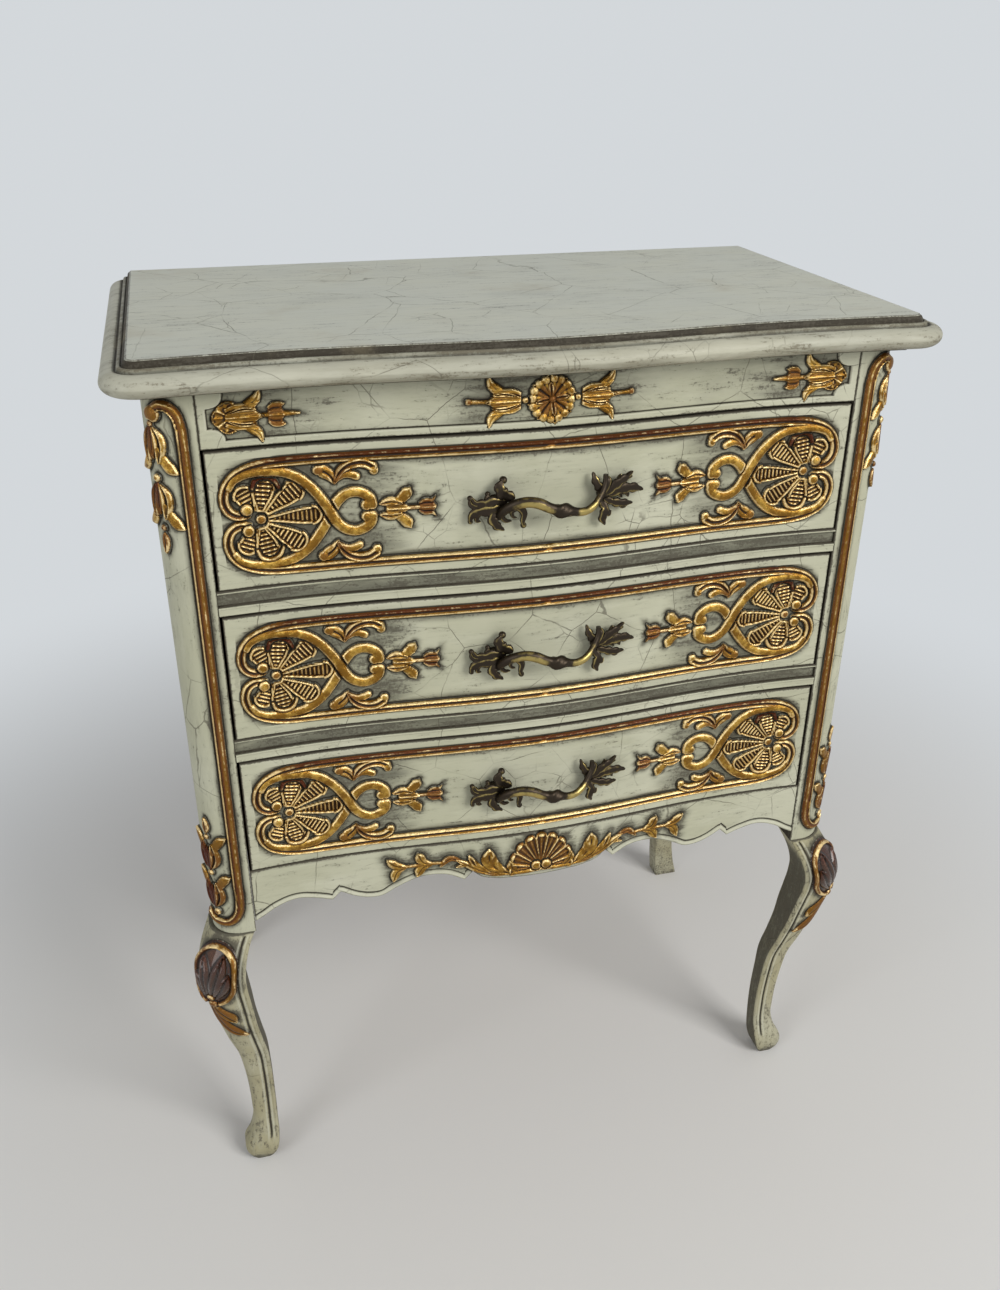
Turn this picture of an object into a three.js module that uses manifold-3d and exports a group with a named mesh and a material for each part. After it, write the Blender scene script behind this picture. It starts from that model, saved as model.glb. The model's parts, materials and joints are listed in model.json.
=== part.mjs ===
// Commode chest on cabriole legs: three serpentine drawers with gilt carving and bronze pulls.
// Millimetres, +Z up. The origin is on the floor, under the middle of the whole chest.

import * as THREE from 'three';
import { mergeVertices } from 'three/addons/utils/BufferGeometryUtils.js';
import Module from 'manifold-3d';

const wasm = await Module();
wasm.setup();

// Overall sizes
const HEIGHT = 850;
const BODY_WIDTH = 616;
const BODY_DEPTH = 338;
const LEG_HEIGHT = 318;
const REAR_FOOT_KICK = 38;
const FRONT_WAVE = 5;
const FRONT_WAVE_LENGTH = 400;

// Clearances and cutters
const SEAT_GAP = 0.3;
const RUNNING_GAP = 0.6;
const OVERRUN = 4;

// Moulded top board
const TOP_THICKNESS = 30;
const TOP_FRONT_OVERHANG = 31;
const TOP_SIDE_OVERHANG = 25.5;
const TOP_BACK_OVERHANG = 2;
const TOP_FIELD_CORNER = 6;
const TOP_BACK_CORNER = 10;
const TOP_GROOVE_WIDTH = 2;
const TOP_FILLET_WIDTH = 4.5;
const TOP_FILLET_RISE = 2.5;
const TOP_COVE_RUN = 2.5;
const TOP_COVE_RISE = 5.5;

// Corner stiles
const STILE_WIDTH = 38;
const STILE_DEPTH = 48;
const STILE_CORNER_RADIUS = 26;
const TENON_THICKNESS = 10;
const TENON_LENGTH = 14;
const TENON_SETBACK = 6;
const TENON_SHOULDER = 4;
const APRON_TENON_HEIGHT = 40;
const DOWEL_TENON_WIDTH = 14;
const DOWEL_TENON_LENGTH = 28;
const DOWEL_TENON_INSET = 8;
const DOWEL_TENON_SETBACK = 12;

// Front legs
const KNEE_SWELL = 17;
const ANKLE_WIDTH = 24.5;
const ANKLE_DEPTH = 20;
const ARRIS_RADIUS = 4;

// Rear posts
const POST_WIDTH = 36;
const POST_DEPTH = 38;
const REAR_ANKLE_WIDTH = 24;
const REAR_ANKLE_DEPTH = 23;
const REAR_FOOT_WIDTH = 30;
const REAR_FOOT_DEPTH = 24;
const REAR_FOOT_SPLAY = 5;
const REAR_ANKLE_INSET = 8;
const POST_CHAMFER = 2;

// Front openings
const FRIEZE_HEIGHT = 43;
const FRIEZE_THICKNESS = 22;
const FRIEZE_SUNK_HEIGHT = 35;
const FRIEZE_SUNK_DEPTH = 2.5;
const FRIEZE_SUNK_MARGIN = 19.5;
const FRIEZE_LOBE_RADIUS = 9;
const FRIEZE_NOTCH_WIDTH = 4;
const RAIL_HEIGHT = 21.5;
const RAIL_DEPTH = 60;
const RAIL_HOLLOW = 3.5;
const APRON_DROP = 50;
const APRON_RISE = 18;
const APRON_THICKNESS = 20;
const DRAWER_COUNT = 3;
const DRAWER_EDGE_GAP = 1;
const DRAWER_END_GAP = 2;

// Sides, back and inner frame
const SIDE_PANEL_THICKNESS = 12;
const SIDE_PANEL_SETBACK = 2;
const SIDE_PANEL_HOUSING = 5;
const SIDE_EDGE_RISE = 4;
const BACK_PANEL_THICKNESS = 6;
const BACK_REBATE = 8;
const BACK_RAIL_HEIGHT = 40;
const BACK_RAIL_THICKNESS = 20;
const FRAME_RAIL_DEPTH = 50;
const FRAME_RAIL_THICKNESS = 18;
const RUNNER_WIDTH = 44;
const RUNNER_THICKNESS = 16;
const GUIDE_HEIGHT = 34;
const KICKER_THICKNESS = 18;
const STOP_LENGTH = 320;
const STOP_DEPTH = 20;
const STOP_HEIGHT = 6;

// Screws that hold the top
const SCREW_SHANK_RADIUS = 2;
const SCREW_HEAD_RADIUS = 4;
const SCREW_HEAD_HEIGHT = 3;
const SCREW_BITE = 14;
const SCREW_SPACING = 200;

// Drawer boxes
const DRAWER_FRONT_THICKNESS = 22;
const DRAWER_BOX_REAR_GAP = 40;
const DRAWER_BOX_SETDOWN = 18;
const DRAWER_SIDE_THICKNESS = 10;
const DRAWER_BACK_THICKNESS = 10;
const DRAWER_BACK_SETDOWN = 8;
const DRAWER_BOTTOM_THICKNESS = 4;
const BOTTOM_GROOVE_DEPTH = 5;
const BOTTOM_GROOVE_RISE = 12;
const TAIL_COUNT = 3;
const TAIL_LENGTH = 12;
const TAIL_WIDTH_SHARE = 0.55;
const TAIL_FLARE = 2;

// Bronze pulls
const PULL_GRIP_LENGTH = 90;
const PULL_STANDOFF = 19;
const PULL_BAR_RADIUS = 3.6;
const PULL_PLATE_THICKNESS = 4;
const PULL_BOSS_RADIUS = 6;
const PULL_BOSS_HEIGHT = 9;
const PULL_LEAF_REACH = 26;
const PULL_LEAF_WIDTH = 9;
const BOLT_RADIUS = 2;
const BOLT_HEAD_RADIUS = 4.5;
const BOLT_HEAD_HEIGHT = 3;
const BOLT_BITE = 6;

// Gilt carving
const CARVING_RELIEF = 4;
const CARVING_EDGE_MARGIN = 8;
const CARVING_END_MARGIN = 7;
const CARVING_SHARE_LENGTH = 49;
const RIM_WIDTH = 7.5;
const RIBBON_WIDTH = 8;
const VOLUTE_BALL_RADIUS = 4.5;
const PALMETTE_LOBE_WIDTH = 13;
const LEAF_WIDTH = 10;
const FLOWER_LENGTH = 38;
const FLOWER_FLARE = 15;
const ROSETTE_RADIUS = 17;
const ROSETTE_SPREAD = 68;
const SPRAY_LENGTH = 65;
const SPRAY_FLARE = 15;
const SPRAY_END_GAP = 1.5;
const SHELL_RADIUS = 41;
const SHELL_HALF_WIDTH = 31;
const SHELL_FOOT_RISE = 6;
const GARLAND_REACH = 146;
const GARLAND_LEAF = 27;
const BEAD_WIDTH = 8;
const BEAD_END_INSET = 9;
const BEAD_FOOT_INSET = 12;
const BEAD_HOOK = 20;
const DROP_LENGTH = 34;
const DROP_FLARE = 11;
const DROP_TOP_INSET = 22;
const DROP_FOOT_RISE = 32;
const CARTOUCHE_HALF_WIDTH = 22;
const CARTOUCHE_HALF_HEIGHT = 31;
const CARTOUCHE_INSET = 39.5;
const TAIL_LEAF_LENGTH = 60;
const TAIL_LEAF_WIDTH = 15;
const CARTOUCHE_LEAF_START_SHARE = 0.9;
const DROP_PITCH_SHARE = 1.35;
const LOBE_NICK_SHARE = 0.8;
const SHELL_NICK_SHARE = 0.88;
const GARLAND_WIDTH_SHARE = 0.8;

// Facets of round and waving stretches
const WAVE_STEPS = 14;
const CORNER_STEPS = 4;
const ARRIS_STEPS = 1;
const RIM_STEPS = 6;
const HEART_STEPS = 8;
const HOOK_STEPS = 4;
const ROUND_SIDES = 8;
const FASTENER_SIDES = 6;
const OVAL_SIDES = 12;
const PULL_STEPS = 12;
const PULL_SIDES = 5;
const ROSETTE_LOBES = 8;
const SHELL_FLUTES = 9;

// Planes and levels that the pieces share
const depthCentre = (BODY_DEPTH + REAR_FOOT_KICK - FRONT_WAVE - TOP_FRONT_OVERHANG) / 2;
const frontLine = -depthCentre;
const backLine = BODY_DEPTH - depthCentre;
const sideLine = BODY_WIDTH / 2;
const stileInner = sideLine - STILE_WIDTH;
const topUnderside = HEIGHT - TOP_THICKNESS;
const openingTop = topUnderside - FRIEZE_HEIGHT;
const frontHeight = openingTop - LEG_HEIGHT - APRON_RISE - APRON_DROP;
const openingHeight = (frontHeight - (DRAWER_COUNT - 1) * RAIL_HEIGHT) / DRAWER_COUNT;
const drawerHeight = openingHeight - 2 * DRAWER_EDGE_GAP;
const carvingHalf = drawerHeight / 2 - CARVING_EDGE_MARGIN;
const openingPitch = openingHeight + RAIL_HEIGHT;
const openingFloor = (row) => openingTop - openingHeight - row * openingPitch;
const apronTop = openingFloor(DRAWER_COUNT - 1);
const drawerHalf = stileInner - DRAWER_END_GAP;
const drawerMiddle = (row) => openingFloor(row) + openingHeight / 2;
const frontInner = frontLine + DRAWER_FRONT_THICKNESS;
const friezeInner = frontLine + FRIEZE_THICKNESS;
const railBack = frontLine + RAIL_DEPTH;
const stileBack = frontLine + STILE_DEPTH;
const postFront = backLine - POST_DEPTH;
const postInner = sideLine - POST_WIDTH;
const panelOuter = sideLine - SIDE_PANEL_SETBACK;
const panelInner = panelOuter - SIDE_PANEL_THICKNESS;
const backPanelFront = backLine - BACK_PANEL_THICKNESS;
const backPanelLow = apronTop - BACK_RAIL_HEIGHT;

const waveAt = (x) => FRONT_WAVE * Math.cos((2 * Math.PI * x) / FRONT_WAVE_LENGTH);
const frontAt = (x, forward = 0) => frontLine - waveAt(x) - forward;
const stileFront = frontAt(stileInner);

// Finishes
const finishes = {
  sagePaint: { color: 0xb4b8a0, roughness: 0.55, metalness: 0 },
  gilding: { color: 0xb98a35, roughness: 0.38, metalness: 0.8 },
  bronze: { color: 0x6b5630, roughness: 0.4, metalness: 0.9 },
  bareBeech: { color: 0xb08c62, roughness: 0.75, metalness: 0 },
  plywood: { color: 0xc09c70, roughness: 0.8, metalness: 0 },
  steel: { color: 0x8f8f8c, roughness: 0.4, metalness: 0.9 },
};

const chest = new THREE.Group();
const carcase = new THREE.Group();
chest.add(carcase);

function addPiece(group, name, geometry, finish) {
  const mesh = new THREE.Mesh(geometry, new THREE.MeshStandardMaterial(finishes[finish]));
  mesh.name = name;
  group.add(mesh);
  return mesh;
}

// Joining and cutting of closed solids
function toSolid(geometry) {
  const bare = geometry.clone();
  bare.deleteAttribute('normal');
  bare.deleteAttribute('uv');
  const merged = mergeVertices(bare, 1e-4);
  return new wasm.Manifold(new wasm.Mesh({
    numProp: 3,
    vertProperties: new Float32Array(merged.attributes.position.array),
    triVerts: new Uint32Array(merged.index.array),
  }));
}

function toGeometry(solid) {
  const mesh = solid.getMesh();
  const geometry = new THREE.BufferGeometry();
  geometry.setAttribute('position', new THREE.BufferAttribute(mesh.vertProperties, 3));
  geometry.setIndex(new THREE.BufferAttribute(mesh.triVerts, 1));
  return geometry;
}

const unite = (solids) => solids.reduce((whole, solid) => whole.add(solid));

function mirrored(geometry) {
  const copy = geometry.clone();
  copy.scale(-1, 1, 1);
  const order = copy.index.array;
  for (let i = 0; i < order.length; i += 3) {
    [order[i], order[i + 1]] = [order[i + 1], order[i]];
  }
  return copy;
}

const reflect = (solid) => toSolid(mirrored(toGeometry(solid)));

function addPair(group, name, solid, finish) {
  const right = toGeometry(solid);
  addPiece(group, `${name}_right`, right, finish);
  addPiece(group, `${name}_left`, mirrored(right), finish);
}

// Boxes, prisms and lofts
function box(x0, x1, y0, y1, z0, z1) {
  const block = new THREE.BoxGeometry(x1 - x0, y1 - y0, z1 - z0);
  block.translate((x0 + x1) / 2, (y0 + y1) / 2, (z0 + z1) / 2);
  return toSolid(block);
}

function prism(outline, from, to, basis) {
  const shape = new THREE.Shape(outline.map(([u, v]) => new THREE.Vector2(u, v)));
  const body = new THREE.ExtrudeGeometry(shape, { depth: to - from, bevelEnabled: false });
  body.translate(0, 0, from);
  body.applyMatrix4(basis);
  return toSolid(body);
}

const axisX = new THREE.Vector3(1, 0, 0);
const axisY = new THREE.Vector3(0, 1, 0);
const axisZ = new THREE.Vector3(0, 0, 1);
const upright = new THREE.Matrix4();
const facingBack = new THREE.Matrix4().makeBasis(axisX.clone().negate(), axisZ, axisY);
const facingSide = new THREE.Matrix4().makeBasis(axisY, axisZ, axisX);

// Outlines are (x, y), (x, z) and (y, z) in turn
const prismZ = (outline, z0, z1) => prism(outline, z0, z1, upright);
const prismX = (outline, x0, x1) => prism(outline, x0, x1, facingSide);

function prismY(outline, y0, y1) {
  const flipped = outline.map(([x, z]) => [-x, z]);
  return prism(flipped, y0, y1, facingBack);
}

function loft(rings) {
  const size = rings[0].length;
  const positions = rings.flat(2);
  const faces = [];
  for (let level = 0; level + 1 < rings.length; level += 1) {
    for (let i = 0; i < size; i += 1) {
      const next = (i + 1) % size;
      const a = level * size + i;
      const b = level * size + next;
      faces.push(a, b, b + size, a, b + size, a + size);
    }
  }
  const cap = (ring, axes) => THREE.ShapeUtils.triangulateShape(
    ring.map((p) => new THREE.Vector2(p[axes[0]], p[axes[1]])), []);
  const flat = rings[0].every((p) => p[2] === rings[0][0][2]) ? [0, 1] : [1, 2];
  const last = (rings.length - 1) * size;
  cap(rings[0], flat).forEach(([a, b, c]) => faces.push(a, c, b));
  cap(rings[rings.length - 1], flat).forEach(([a, b, c]) => faces.push(a + last, b + last, c + last));
  const geometry = new THREE.BufferGeometry();
  geometry.setAttribute('position', new THREE.Float32BufferAttribute(positions, 3));
  geometry.setIndex(faces);
  return toSolid(geometry);
}

function arc(cx, cy, radius, from, to, steps) {
  const points = [];
  for (let i = 0; i <= steps; i += 1) {
    const angle = THREE.MathUtils.degToRad(from + ((to - from) * i) / steps);
    points.push([cx + radius * Math.cos(angle), cy + radius * Math.sin(angle)]);
  }
  return points;
}

function smooth(points, steps) {
  const curve = new THREE.SplineCurve(points.map(([u, v]) => new THREE.Vector2(u, v)));
  return curve.getPoints(steps).map((p) => [p.x, p.y]);
}

// Stations across the waving front, and slabs between two of its offsets
function across(half, steps = WAVE_STEPS) {
  return Array.from({ length: steps + 1 }, (_, i) => half * ((2 * i) / steps - 1));
}

function frontBand(half, z0, z1, inner, outer) {
  const stations = across(half);
  const front = stations.map((x) => [x, frontAt(x, outer)]);
  const back = stations.map((x) => [x, frontAt(x, inner)]).reverse();
  return prismZ([...front, ...back], z0, z1);
}

function frontBoard(half, z0, z1, back) {
  const front = across(half).map((x) => [x, frontAt(x)]);
  return prismZ([...front, [half, back], [-half, back]], z0, z1);
}

// Relief on the front: (x, z) outlines kept between two offsets of the waving face
function onFront(outlines, half, z0, z1, inner, outer) {
  const reach = outer + FRONT_WAVE + OVERRUN;
  const prisms = outlines.map((outline) => prismY(outline, frontLine - reach, frontLine + reach));
  return unite(prisms).intersect(frontBand(half, z0, z1, inner, outer));
}

// Flat ornament outlines
function strap(points, width, steps) {
  const curve = new THREE.SplineCurve(points.map(([u, v]) => new THREE.Vector2(u, v)));
  const left = [];
  const right = [];
  for (let i = 0; i <= steps; i += 1) {
    const p = curve.getPoint(i / steps);
    const t = curve.getTangent(i / steps);
    left.push([p.x - (t.y * width) / 2, p.y + (t.x * width) / 2]);
    right.push([p.x + (t.y * width) / 2, p.y - (t.x * width) / 2]);
  }
  return right.concat(left.reverse());
}

const leafShares = [[0.3, 0.45], [0.8, 0.4]];

function leaf(from, to, width) {
  const along = [to[0] - from[0], to[1] - from[1]];
  const length = Math.hypot(...along);
  const side = [(-along[1] / length) * width, (along[0] / length) * width];
  const place = (s, w) => [
    from[0] + along[0] * s + side[0] * w,
    from[1] + along[1] * s + side[1] * w,
  ];
  const lower = leafShares.map(([s, w]) => place(s, -w));
  const upper = leafShares.map(([s, w]) => place(s, w)).reverse();
  return [from, ...lower, to, ...upper];
}

function spindle(shares, start, length, flare) {
  const upper = shares.map(([s, w]) => [start + length * s, flare * w]);
  const lower = upper.map(([u, v]) => [u, -v]).reverse();
  return [...upper, ...lower];
}

const disc = (x, z, radius, sides = ROUND_SIDES) => arc(x, z, radius, 0, 360, sides).slice(0, sides);

const flipX = (outline) => outline.map(([u, v]) => [-u, v]).reverse();
const flipZ = (outline) => outline.map(([u, v]) => [u, -v]).reverse();
const shift = (outline, du, dv) => outline.map(([u, v]) => [u + du, v + dv]);

// Top board: one outline, drawn in by the moulding at each level
function topOutline(inset, mouldingWidth) {
  const half = sideLine + TOP_SIDE_OVERHANG - inset;
  const radius = TOP_FIELD_CORNER + mouldingWidth - inset;
  const inwards = inset / mouldingWidth;
  const backRadius = THREE.MathUtils.lerp(TOP_BACK_CORNER, SEAT_GAP, inwards);
  const back = backLine + TOP_BACK_OVERHANG;
  const front = across(half - radius).map((x) => [x, frontAt(x, TOP_FRONT_OVERHANG - inset)]);
  const corner = frontAt(half - radius, TOP_FRONT_OVERHANG - inset) + radius;
  const right = [
    ...arc(half - radius, corner, radius, -90, 0, CORNER_STEPS).slice(1),
    ...arc(half - backRadius, back - backRadius, backRadius, 0, 90, CORNER_STEPS / 2),
  ];
  const left = right.slice().reverse().map(([x, y]) => [-x, y]);
  return [...front, ...right, ...left];
}

function makeTop() {
  const torusRadius = (TOP_THICKNESS - TOP_FILLET_RISE - TOP_COVE_RISE) / 2;
  const filletStart = torusRadius + TOP_GROOVE_WIDTH;
  const filletEnd = filletStart + TOP_FILLET_WIDTH;
  const mouldingWidth = filletEnd + TOP_COVE_RUN;
  const torus = arc(torusRadius, torusRadius, torusRadius, 270, 90, CORNER_STEPS);
  const profile = [
    ...torus,
    [filletStart, 2 * torusRadius],
    [filletStart, 2 * torusRadius + TOP_FILLET_RISE],
    [filletEnd, 2 * torusRadius + TOP_FILLET_RISE],
    [mouldingWidth, TOP_THICKNESS],
  ];
  const rings = profile.map(([inset, rise]) => topOutline(inset, mouldingWidth)
    .map(([x, y]) => [x, y, topUnderside + rise]));
  addPiece(carcase, 'top_board', toGeometry(loft(rings).subtract(screwHoles)), 'sagePaint');
}

// Frame rails under the top, and the screws that pass up through them
const frameTop = topUnderside - SEAT_GAP;
const frameLow = frameTop - FRAME_RAIL_THICKNESS;
const frameFront = friezeInner + SEAT_GAP;
const frameRear = backPanelFront - SEAT_GAP;
const screwRows = [frameFront + FRAME_RAIL_DEPTH / 2, frameRear - FRAME_RAIL_DEPTH / 2];
const screwHoles = unite(screwRows.flatMap((y) => [-SCREW_SPACING, SCREW_SPACING].map((x) => prismZ(
  disc(x, y, SCREW_SHANK_RADIUS + SEAT_GAP, FASTENER_SIDES),
  frameLow - OVERRUN, topUnderside + SCREW_BITE + SEAT_GAP))));

function turned(profile) {
  const points = profile.map(([r, h]) => new THREE.Vector2(r, h));
  const lathe = new THREE.LatheGeometry(points, FASTENER_SIDES, Math.PI / 2);
  lathe.rotateX(Math.PI / 2);
  return lathe;
}

function headedProfile(headRadius, headHeight, shankRadius, length) {
  return [
    [0, 0],
    [headRadius, 0],
    [headRadius, headHeight],
    [shankRadius, headHeight],
    [shankRadius, length],
    [0, length],
  ];
}

function makeScrews() {
  const headZ = frameLow - SCREW_HEAD_HEIGHT - SEAT_GAP;
  const length = topUnderside + SCREW_BITE - headZ;
  const profile = headedProfile(SCREW_HEAD_RADIUS, SCREW_HEAD_HEIGHT, SCREW_SHANK_RADIUS, length);
  screwRows.forEach((y, row) => {
    const screw = toSolid(turned(profile).translate(SCREW_SPACING, y, headZ));
    addPair(carcase, ['top_screw_front', 'top_screw_rear'][row], screw, 'steel');
  });
}

function makeFrameRails() {
  const half = stileInner - SEAT_GAP;
  const front = box(-half, half, frameFront, frameFront + FRAME_RAIL_DEPTH, frameLow, frameTop);
  addPiece(carcase, 'top_rail_front', toGeometry(front.subtract(screwHoles)), 'bareBeech');
  const backHalf = postInner - SEAT_GAP;
  const back = box(-backHalf, backHalf, frameRear - FRAME_RAIL_DEPTH, frameRear, frameLow, frameTop);
  addPiece(carcase, 'top_rail_back', toGeometry(back.subtract(screwHoles)), 'bareBeech');
  const lowBack = box(-backHalf, backHalf, frameRear - BACK_RAIL_THICKNESS, frameRear,
    apronTop - BACK_RAIL_HEIGHT, apronTop);
  addPiece(carcase, 'bottom_rail_back', toGeometry(lowBack), 'bareBeech');
  const lowFront = box(-half, half, frontLine + APRON_THICKNESS + SEAT_GAP, railBack,
    apronTop - FRAME_RAIL_THICKNESS, apronTop);
  addPiece(carcase, 'bottom_rail_front', toGeometry(lowFront), 'bareBeech');
}

// Tenons of the front rails, and the mortises that take them
const tenonFront = stileFront + TENON_SETBACK;

function railTenons(z0, z1, grow = 0) {
  const tenon = box(stileInner - OVERRUN, stileInner + TENON_LENGTH + grow,
    tenonFront - grow, tenonFront + TENON_THICKNESS + grow,
    z0 + TENON_SHOULDER - grow, z1 - TENON_SHOULDER + grow);
  return tenon.add(reflect(tenon));
}

const railLevels = Array.from({ length: DRAWER_COUNT - 1 }, (_, row) => openingFloor(row));
const tenonLevels = [
  [openingTop, frameTop],
  ...railLevels.map((top) => [top - RAIL_HEIGHT, top]),
  [apronTop - APRON_TENON_HEIGHT, apronTop],
];

// Corner stiles with their rounded corners
function stileOutline(grow = 0) {
  const centre = [sideLine - STILE_CORNER_RADIUS, stileFront + STILE_CORNER_RADIUS];
  return [
    [stileInner, stileBack],
    [stileInner, stileFront - grow],
    ...arc(centre[0], centre[1], STILE_CORNER_RADIUS + grow, -90, 0, CORNER_STEPS),
    [sideLine + grow, stileBack],
  ];
}

const dowelOuter = sideLine - DOWEL_TENON_INSET;
const dowelFront = stileFront + DOWEL_TENON_SETBACK;

function dowelTenon(grow = 0) {
  return box(dowelOuter - DOWEL_TENON_WIDTH - grow, dowelOuter + grow,
    dowelFront - grow, dowelFront + DOWEL_TENON_WIDTH + grow,
    LEG_HEIGHT - OVERRUN, LEG_HEIGHT + DOWEL_TENON_LENGTH + grow);
}

function makeStiles() {
  const body = prismZ(stileOutline(), LEG_HEIGHT, frameTop).add(stileCarving());
  const mortises = tenonLevels.map(([z0, z1]) => railTenons(z0, z1, SEAT_GAP));
  const panelGroove = box(panelInner - SEAT_GAP, panelOuter + SEAT_GAP,
    stileBack - SIDE_PANEL_HOUSING - SEAT_GAP, stileBack + OVERRUN, LEG_HEIGHT - OVERRUN, HEIGHT);
  addPair(carcase, 'front_stile', body.subtract(unite([...mortises, panelGroove, dowelTenon(SEAT_GAP)])),
    'sagePaint');
}

// Cabriole legs: a rounded section, set out and drawn in from the stile's faces on the way down
// Columns: height, swell to the side, swell to the front, width, depth, corner
const legShares = [
  [0, -0.47, -1, -0.33, 0.04, 0.3],
  [0.025, -0.18, -0.76, 0.33, 0.25, 0.45],
  [0.057, -0.12, -0.65, 0.67, 0.32, 0.5],
  [0.1, -0.53, -0.94, 0.3, 0.14, 0.42],
  [0.151, -0.79, -1.24, 0, 0, 0.35],
  [0.264, -0.78, -1.26, 0.02, 0.01, 0.35],
  [0.378, -0.65, -1.06, 0.15, 0.05, 0.38],
  [0.466, -0.42, -0.83, 0.34, 0.15, 0.46],
  [0.56, 0.03, -0.32, 0.62, 0.26, 0.56],
  [0.645, 0.38, 0.12, 0.81, 0.39, 0.66],
  [0.709, 0.68, 0.41, 1.07, 0.5, 0.75],
  [0.771, 0.88, 0.71, 1.19, 0.57, 0.82],
  [0.834, 1, 0.97, 1.22, 0.64, 0.86],
  [0.881, 1, 1.04, 1.22, 0.68, 0.88],
  [0.913, 0.91, 0.85, 1.22, 0.68, 0.9],
  [0.944, 0.71, 0.56, 1.19, 0.68, 0.92],
  [0.976, 0.41, 0.18, 1.15, 0.7, 0.97],
  [1, 0.18, -0.06, 1.19, 0.71, 1],
];

function roundedRing(x0, x1, y0, y1, z, corner, arris) {
  const points = [
    ...arc(x0 + arris, y0 + arris, arris, 180, 270, ARRIS_STEPS),
    ...arc(x1 - corner, y0 + corner, corner, 270, 360, CORNER_STEPS),
    ...arc(x1 - arris, y1 - arris, arris, 0, 90, ARRIS_STEPS),
    ...arc(x0 + arris, y1 - arris, arris, 90, 180, ARRIS_STEPS),
  ];
  return points.map(([x, y]) => [x, y, z]);
}

function legBody(grow = 0) {
  const top = LEG_HEIGHT - SEAT_GAP;
  const rings = legShares.map(([height, side, front, wide, deep, round]) => {
    const outer = sideLine + KNEE_SWELL * side;
    const face = stileFront - KNEE_SWELL * front;
    const width = THREE.MathUtils.lerp(ANKLE_WIDTH, STILE_WIDTH, wide);
    const depth = THREE.MathUtils.lerp(ANKLE_DEPTH, STILE_DEPTH, deep);
    return roundedRing(outer - width, outer + grow, face - grow, face + depth,
      top * height, STILE_CORNER_RADIUS * round + grow, ARRIS_RADIUS);
  });
  return loft(rings);
}

function makeFrontLegs() {
  addPair(carcase, 'leg_front', legBody().add(dowelTenon()).add(kneeCartouche()), 'sagePaint');
}

// Rear posts: square above, then swept back to a small splayed foot
// Columns: height, kick, drawn in, share of the post's section, share of the foot's section
const rearLegShares = [
  [0, 1, 0, 0, 1],
  [0.074, 0.9, 0.5, 0, 0.5],
  [0.193, 0.76, 1, 0, 0],
  [0.357, 0.58, 1, 0, 0],
  [0.595, 0.24, 0.75, 0.17, 0],
  [0.833, 0.03, 0.25, 0.67, 0],
  [1, 0, 0, 1, 0],
];

function makeRearPosts() {
  const ring = (z, kick, drawn, post, foot) => {
    const outer = sideLine - REAR_ANKLE_INSET * drawn + REAR_FOOT_SPLAY * foot;
    const back = backLine + REAR_FOOT_KICK * kick;
    const width = REAR_ANKLE_WIDTH + (POST_WIDTH - REAR_ANKLE_WIDTH) * post
      + (REAR_FOOT_WIDTH - REAR_ANKLE_WIDTH) * foot;
    const depth = REAR_ANKLE_DEPTH + (POST_DEPTH - REAR_ANKLE_DEPTH) * post
      + (REAR_FOOT_DEPTH - REAR_ANKLE_DEPTH) * foot;
    const outline = [
      [outer - width, back],
      [outer - width, back - depth + POST_CHAMFER],
      [outer - width + POST_CHAMFER, back - depth],
      [outer - POST_CHAMFER, back - depth],
      [outer, back - depth + POST_CHAMFER],
      [outer, back - POST_CHAMFER],
      [outer - POST_CHAMFER, back],
    ];
    return outline.map(([x, y]) => [x, y, z]);
  };
  const rings = rearLegShares.map(([height, ...shares]) => ring(LEG_HEIGHT * height, ...shares));
  rings.push(ring(frameTop, 0, 0, 1, 0));
  const rebate = box(postInner - OVERRUN, postInner + BACK_REBATE,
    backPanelFront - SEAT_GAP, backLine + OVERRUN, backPanelLow - SEAT_GAP, HEIGHT);
  const panelGroove = box(panelInner - SEAT_GAP, panelOuter + SEAT_GAP,
    postFront - OVERRUN, postFront + SIDE_PANEL_HOUSING + SEAT_GAP, LEG_HEIGHT, HEIGHT);
  addPair(carcase, 'rear_post', loft(rings).subtract(unite([rebate, panelGroove])), 'sagePaint');
}

// Side panels with a shaped lower edge, housed in the stile and the post
// Columns: place along the edge, drop from the apron's top
const sideEdgeShares = [
  [0, 0.92], [0.16, 0.78], [0.36, 0.74], [0.5, 0.86], [0.64, 0.74], [0.84, 0.78], [1, 0.92],
];

function makeSidePanels() {
  const front = stileBack - SIDE_PANEL_HOUSING;
  const back = postFront + SIDE_PANEL_HOUSING;
  const low = LEG_HEIGHT + SIDE_EDGE_RISE;
  const fall = (apronTop - low) / sideEdgeShares[0][1];
  const edge = smooth(sideEdgeShares.map(([s, drop]) => [
    THREE.MathUtils.lerp(front, back, s), apronTop - drop * fall]), WAVE_STEPS);
  const outline = [...edge, [back, frameTop], [front, frameTop]];
  addPair(carcase, 'side_panel', prismX(outline, panelInner, panelOuter), 'sagePaint');
}

// Back panel in its rebates
function makeBackPanel() {
  const half = postInner + BACK_REBATE - SEAT_GAP;
  const panel = box(-half, half, backPanelFront, backLine, backPanelLow, frameTop);
  addPiece(carcase, 'back_panel', toGeometry(panel), 'plywood');
}

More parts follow.
